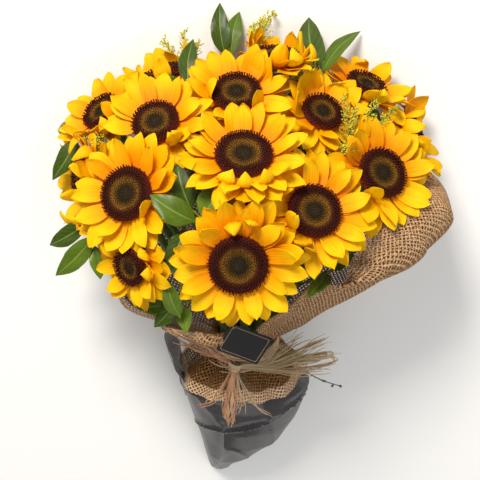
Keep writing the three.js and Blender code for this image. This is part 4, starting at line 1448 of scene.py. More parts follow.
@dataclass
class Stems:
    """The bundle of stems, each with the green cup and the pointed bracts under its bloom."""

    clearance: Clearance
    scatter: Scatter
    sides: int = 14
    points: int = 44
    bract_rows: tuple[tuple[int, float, float], ...] = ((14, -12.5, 5.5), (13, -9.4, 8.5))
    bract_width: float = 7.0
    bract_thick: float = 0.6
    hair_gap: float = 5.2
    cup: tuple[Point, ...] = (
        (0.82, 0, 0), (0.98, 0, -1.2), (0.95, 0, -3.5), (0.75, 0, -7.5), (0.48, 0, -11.0), (0, 5.6, -15.0),
        (0, 4.4, -19.5),
    )

    def path(self, bloom: Bloom, shortening: float) -> Array:
        """Run a stem from a bloom's cup to its cut end.

        Args:
            bloom: the bloom.
            shortening: how much shorter than the longest it is cut.

        Returns:
            The points of its middle line.
        """
        u = bloom.at[0] * WAIST_SHARE
        w = -bloom.at[1] * WAIST_SHARE * 0.9 + 4
        frame = bloom.frame
        neck = frame.point(0, 0, -HUB_DEPTH - CUP_DEPTH - 6)
        below = frame.point(0, 0, -HUB_DEPTH - CUP_DEPTH - 23)
        below = below + (place(u * 4, 70, w * 4) - below) * 0.16
        end = place(u * 1.25 - 8, -182 + 44 * math.hypot(u, w) / 24 + shortening, w * 0.75 - 8)
        return smooth_path([neck, below, place(u * 3, 66, w * 3), place(u, 0, w), end], self.points)

    def add_bracts(self, draft: Draft, bloom: Bloom, random: np.random.Generator) -> None:
        """Add the pointed green bracts round a cup, each where it has room.

        Args:
            draft: the mesh to add to.
            bloom: the bloom that they stand under.
            random: where their random numbers come from.
        """
        frame = bloom.frame
        part = np.linspace(0, 1, 6)
        across = np.linspace(-1, 1, 5)
        faces = grid_faces(len(part), len(across))
        for count, level, reach in self.bract_rows:
            for k in range(count):
                turn = (k + 0.5 * (level > -10) + 0.3 * (random.random() - 0.5)) * FULL_TURN / count
                radial = frame.radial(turn)
                side = np.cross(frame.normal, radial)
                length = reach * (0.85 + 0.3 * random.random())
                out = bloom.hub * 0.72 + (bloom.hub * 0.28 + length) * part
                high = level + 3.4 * part**0.7 - 1.0 * part**3
                half = self.bract_width / 2 * np.interp(part, (0, 0.35, 0.7, 1), (0.9, 1, 0.55, 0.04))
                middle = frame.centre + radial * out[:, None] + frame.normal * high[:, None]
                grid = middle[:, None] + side * (half[:, None] * across)[..., None]
                grid = grid - frame.normal * (0.22 * half[:, None] * across**2)[..., None]
                if self.clearance.take(bloom.name, grid, faces):
                    add_shell(draft, grid, frame.normal, self.bract_thick, None, 0.3 * random.random())

    def grow_hairs(self, path: Array, random: np.random.Generator) -> tuple[Array, Array]:
        """Spread the hairs over a stem.

        Args:
            path: the stem's middle line.
            random: where their random numbers come from.

        Returns:
            Where each stands, and which way it points.
        """
        spots = int(length_along(path)[-1] / self.hair_gap * 4)
        index = (np.sort(random.random(spots)) * 0.9 + 0.03) * (len(path) - 1)
        low = index.astype(int)
        tangents, sides, ups = frames_along(path, RIGHT)
        radial = around(sides[low], ups[low], random.random(spots) * FULL_TURN)
        middle = path[low] + (path[low + 1] - path[low]) * (index - low)[:, None]
        return middle + radial * STEM_RADIUS * 0.85, unit(radial - tangents[low] * 0.35)

    def build(self, wardrobe: Wardrobe, hair: Piece, stalks: Sequence[Array]) -> Piece:
        """Build the stems.

        Args:
            wardrobe: the materials.
            hair: the small hair to stand on them.
            stalks: the middle lines of the sprigs' stalks, whose lower parts run in the bundle.

        Returns:
            One mesh.
        """
        random = np.random.default_rng(11)
        draft = Draft()
        hairs = []
        for bloom in BLOOMS:
            path = self.path(bloom, 10 * float(random.random()))
            flutes = random.random() * 6
            swell = np.interp(np.arange(self.points), (0, 4, self.points - 1), (1.15, 0.97, 0.9))
            add_tube(
                draft, path, STEM_RADIUS * swell, self.sides, RIGHT, 0.25 * random.random(),
                lambda turn, at=flutes: 1 + 0.035 * np.cos(7 * turn + at),
            )
            top = -HUB_DEPTH - GAP
            cup = [(bloom.hub * share + wide, top + drop) for share, wide, drop in self.cup]
            add_turned(draft, bloom.frame, np.array(cup), 24, 0.12 * random.random())
            self.add_bracts(draft, bloom, random)
            hairs.append(self.grow_hairs(path, random))
        for stalk in stalks:
            add_tube(draft, stalk[: STALK_SEEN + 1], 1.5, 7, RIGHT, 0.35 * random.random())
        feet, facing = (np.concatenate(rows) for rows in zip(*hairs))
        sizes = np.ones((len(feet), 3)) * (0.7 + 0.6 * random.random((len(feet), 1)))
        material = wardrobe.get(Finish.STEM)
        body = draft.build("stems", material, 60)
        hair_coat = self.scatter.stand("hairs", hair, feet, facing, sizes, np.zeros(len(feet)), material, 5)
        return join_pieces("stems_cups_and_bracts", [body, hair_coat])


@dataclass(frozen=True)
class Leaf:
    """A leaf from its base to its tip on the dome (right, up, off the dome), and its width."""

    base: Point
    tip: Point
    width: float


@dataclass
class Sprig:
    """A stalk with glossy leaves."""

    name: str
    foot: tuple[float, float]
    leaves: tuple[Leaf, ...]
    rows: int = 17
    columns: int = 11
    thick: float = 0.5
    outline: Table = (
        (0, 0.07), (0.06, 0.16), (0.14, 0.55), (0.26, 0.88), (0.4, 1.0), (0.56, 0.96), (0.72, 0.74),
        (0.86, 0.42), (0.95, 0.16), (1.0, 0.03),
    )
    arch: Table = ((0, 0.2), (0.24, 2.5), (0.52, 4.0), (0.8, 2.6), (1.0, 0.0))
    offs: tuple[float, ...] = (0, 5, -5, 10, -10, 16, -16, 24, -24)
    rolls: tuple[float, ...] = (0, 0.3, -0.3, 0.6, -0.6, 1, -1)

    def grid(self, leaf: Leaf, off: float, roll: float, random: np.random.Generator) -> tuple[Array, Array]:
        """Lay out one leaf.

        Args:
            leaf: the leaf.
            off: how much further its tip stands off the dome.
            roll: how far it is rolled about its length.
            random: where its own waves come from.

        Returns:
            Its grid of points and the direction of its upper face.
        """
        base = on_dome(*leaf.base)
        tip = on_dome(leaf.tip[0], leaf.tip[1], leaf.tip[2] + off)
        line = unit(tip - base)
        side = unit(np.cross(OUT, line))
        up = np.cross(line, side)
        length = float(np.linalg.norm(tip - base))
        side, top = rolled(side, up, roll)
        part = np.linspace(0, 1, self.rows)
        across = np.linspace(-1, 1, self.columns)
        half = leaf.width / 2 * np.interp(part, *zip(*self.outline))
        bow = np.interp(part, *zip(*self.arch))
        bend = 0.06 * length * math.sin(3 * random.random()) * np.sin(math.pi * part)
        middle = base + line * (part * length * 1.02 - 0.02 * length)[:, None] + up * bow[:, None]
        middle = middle + side * bend[:, None]
        fold = 0.28 * np.abs(across) * half[:, None] - 0.12 * across**2 * half[:, None]
        ripple = np.sin(13 * part[:, None] + 3 * across + 6 * random.random())
        wave = 0.09 * half[:, None] * across**2 * ripple
        grid = middle[:, None] + side * (half[:, None] * across)[..., None] + top * (fold + wave)[..., None]
        return grid, top

    def plan(self, clearance: Clearance) -> tuple[Array, list[tuple[Array, Array]]]:
        """Find room for the stalk and the leaves.

        Args:
            clearance: what is placed already; the stalk and the leaves are added to it.

        Returns:
            The stalk's middle line, and each leaf's grid and upward direction.
        """
        stalk = settle_stalk(clearance, self.name, self.foot, on_dome(*self.leaves[0].base))
        faces = grid_faces(self.rows, self.columns)
        laid = []
        for k, leaf in enumerate(self.leaves):
            for off, roll in [(off, roll) for off in self.offs for roll in self.rolls]:
                grid, top = self.grid(leaf, off, roll, np.random.default_rng(60 + k))
                if clearance.take(self.name, grid, faces):
                    laid.append((grid, top))
                    break
        return stalk, laid

    def build(self, wardrobe: Wardrobe, stalk: Array, laid: Sequence[tuple[Array, Array]]) -> Piece:
        """Build the sprig from what plan found.

        Args:
            wardrobe: the materials.
            stalk: the stalk's middle line.
            laid: each leaf's grid and upward direction.

        Returns:
            One mesh.
        """
        draft = Draft()
        seen = stalk[STALK_SEEN:]
        add_tube(draft, seen, np.linspace(1.5, 1.1, len(seen)), 8, RIGHT, 1.0)
        bases = [on_dome(*leaf.base) for leaf in self.leaves]
        plan = plan_of(np.linspace(0, 1, self.columns), np.linspace(0, 1, self.rows))
        middle = self.columns // 2
        for k, (grid, top) in enumerate(laid):
            foot = grid[0, middle]
            over = (bases[min(k, len(bases) - 1)] + foot) / 2 + OUT * 0.5
            stem = smooth_path([bases[0], over, foot, grid[2, middle]], 8)
            add_tube(draft, stem, np.linspace(1.0, 0.55, len(stem)), 6, UP, 1.0)
            add_shell(draft, grid, top, self.thick, plan, 0.13 + 0.3 * k % 0.8)
        return draft.build(f"{self.name}_leaves", wardrobe.get(Finish.LEAF), 75)


SPRIGS = (
    Sprig("leaf_sprig_left", (-26, 8), (
        Leaf((-166, 82, -6), (-192, 44, -14), 22), Leaf((-168, 84, -14), (-186, 116, -30), 20))),
    Sprig("leaf_sprig_lower_left", (-24, -6), (
        Leaf((-156, -2, -30), (-196, -18, -34), 20), Leaf((-148, -16, -28), (-188, -50, -30), 22),
        Leaf((-148, -24, -34), (-142, -56, -40), 18))),
    Sprig("leaf_sprig_centre", (-10, 2), (
        Leaf((-50, -4, 2), (-64, 38, 12), 25), Leaf((-46, -16, 4), (-88, 8, 14), 26),
        Leaf((-40, -14, 6), (-18, 14, 8), 27))),
    Sprig("leaf_sprig_front", (-14, -10), (
        Leaf((-58, -22, -2), (-72, -56, -2), 19), Leaf((-62, -98, -20), (-74, -64, -8), 17))),
    Sprig("leaf_sprig_top", (-2, 30), (
        Leaf((-20, 172, -22), (-26, 226, 6), 20), Leaf((-14, 174, -20), (-6, 219, 10), 18))),
    Sprig("leaf_sprig_top_left", (-14, 20), (
        Leaf((-56, 128, -8), (-52, 180, 12), 19), Leaf((-62, 128, -10), (-84, 138, 2), 13))),
    Sprig("leaf_sprig_top_right", (16, 20), (
        Leaf((72, 142, 0), (65, 214, 10), 27), Leaf((74, 142, 2), (118, 201, 12), 15),
        Leaf((108, 114, -22), (136, 102, -22), 20), Leaf((62, 128, -20), (38, 116, -22), 18))),
    Sprig("leaf_sprig_front_left", (-18, -16), (
        Leaf((-66, -80, -44), (-88, -104, -40), 18), Leaf((-70, -82, -44), (-104, -86, -36), 16),
        Leaf((-64, -84, -42), (-56, -112, -30), 16))),
    Sprig("leaf_sprig_front_right", (20, -14), (
        Leaf((82, -52, -34), (104, -34, -24), 17), Leaf((76, -54, -36), (56, -84, -24), 17))),
)


@dataclass
class Spray:
    """A stalk of goldenrod with plumes of small buds."""

    name: str
    foot: tuple[float, float]
    base: Point
    tips: tuple[Point, ...]
    branches: int = 22
    longest: float = 14.0
    twiglet_buds: int = 7
    top_buds: int = 26
    offs: tuple[float, ...] = (0, 5, -5, 10, -10, 18)
    sags: tuple[float, ...] = (5, 0, 10, -5, 16)

    def plan(self, clearance: Clearance) -> tuple[Array, list[Array]]:
        """Find room for the stalk and the plumes.

        Args:
            clearance: what is placed already; the stalk and the plumes are added to it.

        Returns:
            The stalk's middle line, and each plume's.
        """
        base = on_dome(*self.base)
        stalk = settle_stalk(clearance, self.name, self.foot, base)
        plumes = []
        for tip in self.tips:
            for off, sag in [(off, sag) for off in self.offs for sag in self.sags]:
                end = on_dome(tip[0], tip[1], tip[2] + off)
                path = smooth_path([base, (base + end) / 2 + OUT * sag, end], 14)
                draft = Draft()
                add_tube(draft, path[1:], np.linspace(3.4, 1.4, 13), 6)
                if clearance.take(self.name, draft.points[0], draft.faces):
                    plumes.append(path)
                    break
        return stalk, plumes

    def grow_plume(self, draft: Draft, path: Array, random: np.random.Generator) -> list[tuple[Array, Array]]:
        """Add a plume's twiglets.

        Args:
            draft: the mesh to add to.
            path: the plume's middle line.
            random: where its random numbers come from.

        Returns:
            Where each of its buds stands, and which way it points.
        """
        add_tube(draft, path, np.linspace(0.9, 0.35, len(path)), 6)
        tangents, sides, ups = frames_along(path, UP)
        last = len(path) - 1
        buds = []
        for k in range(self.branches):
            part = 0.12 + 0.84 * (k + random.random()) / self.branches
            i = int(part * last)
            turn = k * 2.4 + random.random()
            length = self.longest * (1 - 0.6 * part) * (0.6 + 0.5 * random.random())
            radial = sides[i] * math.cos(turn) + ups[i] * math.sin(turn)
            aim = unit(radial + tangents[i] * 0.9)
            curl = tangents[i] * 0.25 * length
            twiglet = smooth_path([path[i], path[i] + aim * length * 0.5, path[i] + aim * length + curl], 5)
            add_tube(draft, twiglet, 0.28, 4)
            for _ in range(self.twiglet_buds):
                share = 0.2 + 0.8 * random.random()
                at = path[i] + aim * length * share + curl * share**2
                shift = unit(random.random(3) - 0.5)
                buds.append((at + shift * 0.9, unit(shift + aim * 0.6)))
        for _ in range(self.top_buds):
            part = random.random()
            i = min(int((0.1 + 0.9 * part) * last), last)
            shift = unit(random.random(3) - 0.5)
            buds.append((path[i] + shift * (1.6 - part), unit(shift + tangents[i])))
        return buds

    def build(
        self, wardrobe: Wardrobe, scatter: Scatter, bud: Piece, stalk: Array, plumes: Sequence[Array]
    ) -> Piece:
        """Build the spray.

        Args:
            wardrobe: the materials.
            scatter: what stands the buds.
            bud: the small bud.
            stalk: the stalk's middle line.
            plumes: the plumes' middle lines.

        Returns:
            One mesh.
        """
        random = np.random.default_rng(len(self.name) * 7 + int(abs(self.base[0])))
        draft = Draft()
        add_tube(draft, stalk[STALK_SEEN:], 1.2, 7)
        grown = [bud for path in plumes for bud in self.grow_plume(draft, path, random)]
        spots, facing = (np.array(row) for row in zip(*grown))
        count = len(spots)
        material = wardrobe.get(Finish.GOLDENROD)
        body = draft.build("stalks", material, 60)
        sizes = np.ones((count, 3)) * (0.5 + 0.45 * random.random((count, 1)))
        buds = scatter.stand("buds", bud, spots, facing, sizes, np.ones(count), material, 9)
        add_attribute(buds.data, "tone", 0.55 + 0.45 * random.random(len(buds.data.vertices)))
        return join_pieces(f"{self.name}_plumes", [body, buds])


SPRAYS = (
    Spray("goldenrod_top_left", (-18, 26), (-62, 150, -30), ((-84, 190, 4), (-62, 198, 8), (-46, 178, 10))),
    Spray("goldenrod_top", (4, 28), (8, 166, -10), ((18, 214, 4), (30, 220, 8), (8, 204, 6))),
    Spray("goldenrod_upper_right", (10, 24), (52, 126, -6), ((56, 158, 6), (68, 148, 8), (46, 136, 6))),
    Spray("goldenrod_right", (22, 10), (100, 62, -8), (
        (94, 116, 14), (104, 98, 18), (128, 112, 20), (150, 108, 22), (92, 54, 18))),
    Spray("goldenrod_left", (-24, 18), (-132, 66, -14), ((-158, 82, 2), (-146, 72, 8))),
)


@dataclass
class Burlap:
    """The burlap sheet, gathered at the tie: a short skirt below it and a turned-over edge above."""

    rim: tuple[tuple[float, float, float, float], ...] = (
        (-180, 115, 56, 0), (-150, 132, 86, 0), (-120, 145, 112, 0), (-90, 150, 122, 0), (-60, 172, 128, 0),
        (-40, 187, 131, 0.3), (-20, 197, 128, 0.6), (-5, 187, 122, 0.8), (5, 158, 111, 0.8),
        (13, 126, 98, 0.5), (24, 106, 107, 0.12), (42, 82, 120, 0), (62, 66, 94, 0), (90, 56, 58, 0),
        (126, 68, 59, 0),
        (150, 94, 64, 0), (180, 115, 56, 0),
    )
    turned_in: Table = ((14, 24), (2, 44), (-28, 52), (-56, 48))
    curled: Table = ((3.5, 2.5), (6, 0.5), (6.5, -4), (3.5, -7))
    straight: Table = ((2, 1.6), (4, 3.2), (6, 4.8), (8, 6.4))
    waist: float = 28.9
    thick: float = 0.5
    rows: int = 96
    columns: int = 260
    cone: float = 0.75
    straight_at: float = -14.0
    skirt_left: float = 5.0
    notch: float = 8.0
    skirt_wide: float = 66.0
    skirt_deep: float = 50.0
    hem_rows: int = 7
    edge_rows: int = 3
    cut: tuple[float, float] = (0.46, 0.40)

    def rim_at(self, turn: float) -> tuple[float, float, float]:
        """Return the radius, height and turn-over of the upper edge at an angle."""
        degrees = (math.degrees(turn) + 180) % 360 - 180
        for a, b in zip(self.rim, self.rim[1:]):
            if degrees <= b[0]:
                t = float(ease(degrees, a[0], b[0]))
                return tuple(x + (y - x) * t for x, y in zip(a[1:], b[1:]))
        return self.rim[-1][1:]

    def section(self, turn: float) -> list[tuple[float, float]]:
        """Find the sheet's section at an angle.

        Args:
            turn: the angle round the tie.

        Returns:
            Rows of radius and height, from the skirt's hem to the upper edge.
        """
        radius, height, flap = self.rim_at(turn)
        wide = self.skirt_wide * math.cos(turn) ** 2 + self.skirt_deep * math.sin(turn) ** 2
        lobe = 5 * math.cos(3 * turn + 0.6) + 3 * math.cos(7 * turn)
        lobe += self.notch * math.exp(-(((math.degrees(turn) % 360) - 87) / 13) ** 2)
        line = [
            (wide + lobe * 0.6, -50 + lobe), (wide * 0.86, -36 + lobe * 0.5), (wide * 0.64 + 2, -20),
            (self.waist + 1, -7), (self.waist + 0.6, 6),
        ]
        full = 1.08 - 0.3 * math.exp(-(((math.degrees(turn) + 180) % 360 - 180 - 28) / 24) ** 2)
        for part in (0.25, 0.55, 0.8, 1.0):
            bulge = 1 + 0.045 * math.sin(6 * turn + 1) * part * (1 - flap)
            line.append(((self.waist + (radius - self.waist) * part**full) * bulge, 6 + (height - 6) * part))
        last = line[-1]
        roll = float(ease(abs((math.degrees(turn) + 270) % 360 - 180), 36, 58))
        for inward, curled, straight in zip(self.turned_in, self.curled, self.straight):
            edge = [straight[k] + (curled[k] - straight[k]) * roll for k in (0, 1)]
            line.append(tuple(last[k] + edge[k] + (inward[k] - edge[k]) * flap for k in (0, 1)))
        return line

    def sheet(self, rows: int, columns: int) -> tuple[Array, Array]:
        """Lay out the middle of the sheet.

        Args:
            rows: how many points along it.
            columns: how many points round it.

        Returns:
            The grid of points and their distance along the sheet from the tie.
        """
        grid = np.zeros((rows, columns, 3))
        along = np.zeros((rows, columns))
        for j in range(columns):
            turn = -math.pi / 2 + FULL_TURN * j / columns
            line = np.array([(r, h, 0.0) for r, h in self.section(turn)])
            curve = smooth_path(list(line), rows)[:, :2]
            steps = length_along(curve)
            tie = float(np.interp(0.0, curve[: rows // 2, 1], steps[: rows // 2]))
            far = steps - tie
            skirt = ease(-far, 4, 46)
            top = ease(far, 6, 60)
            gather = ease(np.abs(far), 60, 8)
            edge = float(steps[round(8 * (rows - 1) / 12)] - tie)
            fold = (
                0.9 * gather * math.cos(23 * turn + 1.4 * math.sin(2 * turn))
                + skirt * ease(-far, 8, 30) * (2.6 * math.cos(9 * turn + 0.9) + 1.1 * math.cos(17 * turn))
                + 1.6 * top * math.sin(9 * turn + 0.6) * ease(far, 120, 30)
                + 1.8 * top * np.sin(4 * turn + far / 26)
                + 0.9 * top * np.sin(7 * turn - far / 13 + 2)
            )
            inward = np.where(np.abs(far) < 9, np.minimum(fold, 1.1), fold)
            slope = np.gradient(curve, axis=0)
            normal = unit(np.stack([slope[:, 1], -slope[:, 0]], axis=1))
            curve = curve + normal * inward[:, None]
            grid[:, j] = (
                TIE_POINT + RIGHT * (curve[:, 0] * math.cos(turn))[:, None] + ALONG * curve[:, 1][:, None]
                + FRONT * (curve[:, 0] * math.sin(turn))[:, None]
            )
            grid[:, j] -= RIGHT * (self.skirt_left * skirt)[:, None]
            along[:, j] = np.where(far > edge, 2 * edge - far, far)
        return grid, along

    def build(self, wardrobe: Wardrobe) -> tuple[Piece, float]:
        """Build the sheet.

        Args:
            wardrobe: the materials.

        Returns:
            One mesh, and its flat area in square metres.
        """
        grid, along = self.sheet(self.rows, self.columns)
        grid[..., 2] = np.maximum(grid[..., 2], self.thick / 2)
        length = np.gradient(grid, axis=0)
        closed = np.concatenate([grid[:, -1:], grid, grid[:, :1]], axis=1)
        round_it = (closed[:, 2:] - closed[:, :-2]) / 2
        normals = unit(np.cross(round_it, length))
        outer = grid + normals * self.thick / 2
        inner = grid - normals * self.thick / 2
        outer[..., 2] = np.maximum(outer[..., 2], 0.0)
        inner[..., 2] = np.maximum(inner[..., 2], 0.0)
        across = np.linalg.norm(round_it, axis=-1)
        rho = self.waist / self.cone + np.abs(along)
        step = (across / rho)[round(0.45 * self.rows):].mean(axis=0)
        turn = np.cumsum(step)
        turn -= turn[round(self.columns * (90 + self.straight_at) / 360)]
        uvs = np.stack([rho * np.cos(turn), rho * np.sin(turn)], axis=-1)
        total = self.rows * self.columns
        faces = grid_faces(self.rows, self.columns, wrap=True)
        faces += grid_faces(self.rows, self.columns, total, flip=True, wrap=True)
        for start, flip in ((0, False), ((self.rows - 1) * self.columns, True)):
            for j in range(self.columns):
                a, b = start + j, start + (j + 1) % self.columns
                quad = (b, a, a + total, b + total)
                faces.append(quad[::-1] if flip else quad)
        draft = Draft()
        points = np.concatenate([outer.reshape(-1, 3), inner.reshape(-1, 3)])
        row = np.arange(self.rows)
        # Painted light and shade: the hem rows at both edges get tone 1, which lightens them, and the skirt
        # below the tie gets a negative tone, a painted shade that deepens away from the tie.
        hem = ((row < self.hem_rows) | (row >= self.rows - self.edge_rows)).astype(float)
        tones = hem - 2.1 * (1 - hem) * ease(-along[:, 0], 6, 22)
        tones = np.tile(np.repeat(tones, self.columns), 2)
        draft.add(points, faces, np.concatenate([uvs.reshape(-1, 2)] * 2), tones)
        piece = draft.build("burlap_sheet", wardrobe.get(Finish.BURLAP), 80)
        self.mend_seam(piece, float(turn[-1] + step[0]))
        down = np.linalg.norm(length, axis=-1)
        return piece, float((across * down).sum()) * METRE**2

    def mend_seam(self, piece: Piece, last: float) -> None:
        """Give the faces that close the sheet at the back UV places past its last column.

        Args:
            piece: the sheet.
            last: the angle of the seam in the UV map.
        """
        mesh = piece.data
        layer = mesh.uv_layers["UVMap"]
        for face in mesh.polygons:
            columns = [mesh.loops[k].vertex_index % self.columns for k in face.loop_indices]
            if self.columns - 1 in columns and 0 in columns:
                for k, column in zip(face.loop_indices, columns):
                    if column == 0:
                        u, v = layer.data[k].uv
                        rho = math.hypot(u, v)
                        layer.data[k].uv = (rho * math.cos(last), rho * math.sin(last))


@dataclass
class FilmBag:
    """The bag of thin film that closes round the stems, open under the tie and folded at its end.

    Each station has a height, the left and right edges, half the depth and its middle. Each crease has an
    angle and a height at either end and a size.
    """

    stations: tuple[tuple[float, ...], ...] = (
        (-1, -27.4, 27.4, 27.4, 0), (-12, -29.6, 29.6, 28.6, 0), (-34, -40, 40, 32, -1),
        (-52, -56, 58, 36, -2), (-70, -72, 70, 40, -3), (-86, -67, 68, 41, -4), (-125, -58, 57, 38, -6),
        (-158, -52, 44, 33, -8), (-190, -47, 14, 24, -9), (-212, -43, -9, 13, -10), (-228, -39, -18, 6, -11),
    )
    thick: float = 0.3
    rows: int = 90
    columns: int = 132
    creases: tuple[tuple[float, ...], ...] = (
        (-1.0, -60, -0.9, -215, 2.2), (-2.2, -50, -1.9, -200, 2.0), (1.95, -112, 1.87, -216, 5.0),
        (2.95, -134, 1.9, -115, 4.6), (1.98, -117, 1.15, -94, 4.6), (1.98, -117, 0.12, -68, 3.6),
        (1.2, -96, 0.05, -78, 2.8), (2.4, -60, 1.95, -116, 2.0), (1.3, -56, 1.2, -96, 2.0),
        (1.2, -96, 0.7, -170, 2.4), (1.9, -150, 0.9, -190, 2.2),
    )

    def ring(self, height: float, turn: Array, inset: float) -> Array:
        """Lay out one ring of the bag.

        Args:
            height: how far up the stems it is.
            turn: the angle of each of its points.
            inset: how far it lies inside the bag's outer face.

        Returns:
            Its points.
        """
        table = np.array(self.stations)[::-1]
        heights, *edges = table.T
        left, right, depth, middle = (float(np.interp(height, heights, edge)) for edge in edges)
        flat = 0.18 * min(1.0, -height / 60)
        across = ((right - left) / 2 - inset) * np.cos(turn)
        deep = (depth - inset) * np.sin(turn) * (1 - flat * (1 - np.abs(np.sin(turn))))
        wrinkle = np.zeros_like(turn)
        loose = float(ease(-height, 6, 50))
        for t0, h0, t1, h1, size in self.creases:
            part = (height - h0) / (h1 - h0)
            if -0.1 < part < 1.1:
                near = (turn - (t0 + (t1 - t0) * part) + math.pi) % FULL_TURN - math.pi
                fade = math.sin(math.pi * min(max(part, 0.02), 0.98)) ** 0.5
                wrinkle += size * np.exp(-np.abs(near) * 13) * fade
        wrinkle -= 0.9 * np.abs(np.sin(2.5 * turn + height / 31)) + 0.25 * np.sin(9 * turn - height / 13)
        wrinkle = wrinkle * loose
        scale = 1 + wrinkle / np.hypot(across, deep).clip(8)
        centre = (left + right) / 2
        return (
            TIE_POINT + RIGHT * (centre + across * scale)[:, None] + ALONG * height
            + FRONT * (middle + deep * scale)[:, None]
        )

    def build(self, wardrobe: Wardrobe) -> Piece:
        """Build the bag.

        Args:
            wardrobe: the materials.

        Returns:
            One mesh.
        """
        turn = np.linspace(0, FULL_TURN, self.columns, endpoint=False)
        heights = np.linspace(self.stations[-1][0], self.stations[0][0], self.rows)
        outer = np.array([self.ring(h, turn, 0.0) for h in heights])
        inner = np.array([self.ring(h, turn, self.thick) for h in heights[2:]])
        outer[..., 2] = np.maximum(outer[..., 2], 0.0)
        inner[..., 2] = np.maximum(inner[..., 2], self.thick)
        rows = np.concatenate([outer, inner[::-1]])
        draft = Draft()
        draft.add(rows.reshape(-1, 3), tube_faces(len(rows), self.columns))
        part = np.linspace(0, 1, 14)[:, None, None]
        across = np.linspace(-1, 1, 9)[None, :, None]
        flare = (
            TIE_POINT - RIGHT * (66 + 17 * part**1.3 - 5 * across**2 + 2 * np.sin(9 * part + 2 * across))
            + ALONG * (-64 + 62 * part - 5 * across**2) + FRONT * (3 + 20 * across)
        )
        add_shell(draft, flare, -RIGHT, self.thick)
        return draft.build("film_bag_sheet", wardrobe.get(Finish.FILM), 28)


@dataclass
class RaffiaTie:
    """The turns of raffia round the waist."""

    inner: float = 32.5
    low: float = -6.8
    high: float = 4.6
    turns: int = 16
    points: int = 74
    loose: int = 20
    loose_points: int = 26
    width: float = 3.4

    def build(self, wardrobe: Wardrobe) -> Piece:
        """Build the turns as flat ribbons, one over the other.

        Args:
            wardrobe: the materials.

        Returns:
            One mesh.
        """
        random = np.random.default_rng(31)
        draft = Draft()
        per_layer = self.turns // 2
        for k in range(self.turns):
            layer, place_in = divmod(k, per_layer)
            height = self.low + (self.high - self.low) * (place_in + 0.3 + 0.4 * random.random()) / per_layer
            start = math.radians(80 + 30 * random.random())
            turn = start + np.linspace(0, FULL_TURN * 1.03, self.points)
            lift = 0.45 * np.sin(turn * 2 + 6 * random.random())
            lift = lift + 0.9 * (random.random() - 0.5) * np.linspace(-1, 1, self.points)
            radius = self.inner + 0.5 + 1.5 * layer + 0.35 * np.sin(3 * turn + 6 * random.random())
            radius = radius + np.linspace(0, 0.5, self.points)
            radial = around(RIGHT, FRONT, turn)
            path = TIE_POINT + radial * radius[:, None] + ALONG * (height + lift)[:, None]
            tilt = 0.5 * (random.random() - 0.5)
            add_strip(
                draft, path, radial + ALONG * tilt, self.width * (0.75 + 0.4 * random.random()), 0.4,
                float(random.random()), -0.12,
            )
        for _ in range(self.loose):
            start = math.radians(62 + 14 * random.random())
            turn = start + np.linspace(0, math.radians(50 + 45 * random.random()), self.loose_points)
            height = -12 + 30 * random.random()
            height = height + (random.random() - 0.5) * np.linspace(0, 22, self.loose_points)
            radius = self.inner + 5.5 + 3 * random.random() + 0.75 * np.maximum(height - 2, 0)
            radius = radius + 0.5 * np.maximum(-height - 4, 0) + 0.8 * np.sin(4 * turn + 6 * random.random())
            radial = around(RIGHT, FRONT, turn)
            path = TIE_POINT + radial * radius[:, None] + ALONG * height[:, None]
            add_strip(draft, path, radial, 1.0 + random.random(), 0.35, float(random.random()) * 0.8, -0.1)
        return draft.build("raffia_turns", wardrobe.get(Finish.RAFFIA), 50)


@dataclass(frozen=True)
class Strand:
    """A bundle of raffia along a path from the knot (u, v, w), with how many ribbons and how they spread."""

    path: tuple[Point, ...]
    count: int
    width: float
    spread: float
    paler: float = 0.0

    @property
    def is_loop(self) -> bool:
        """Return whether it comes back to the knot."""
        return len(self.path) > 4


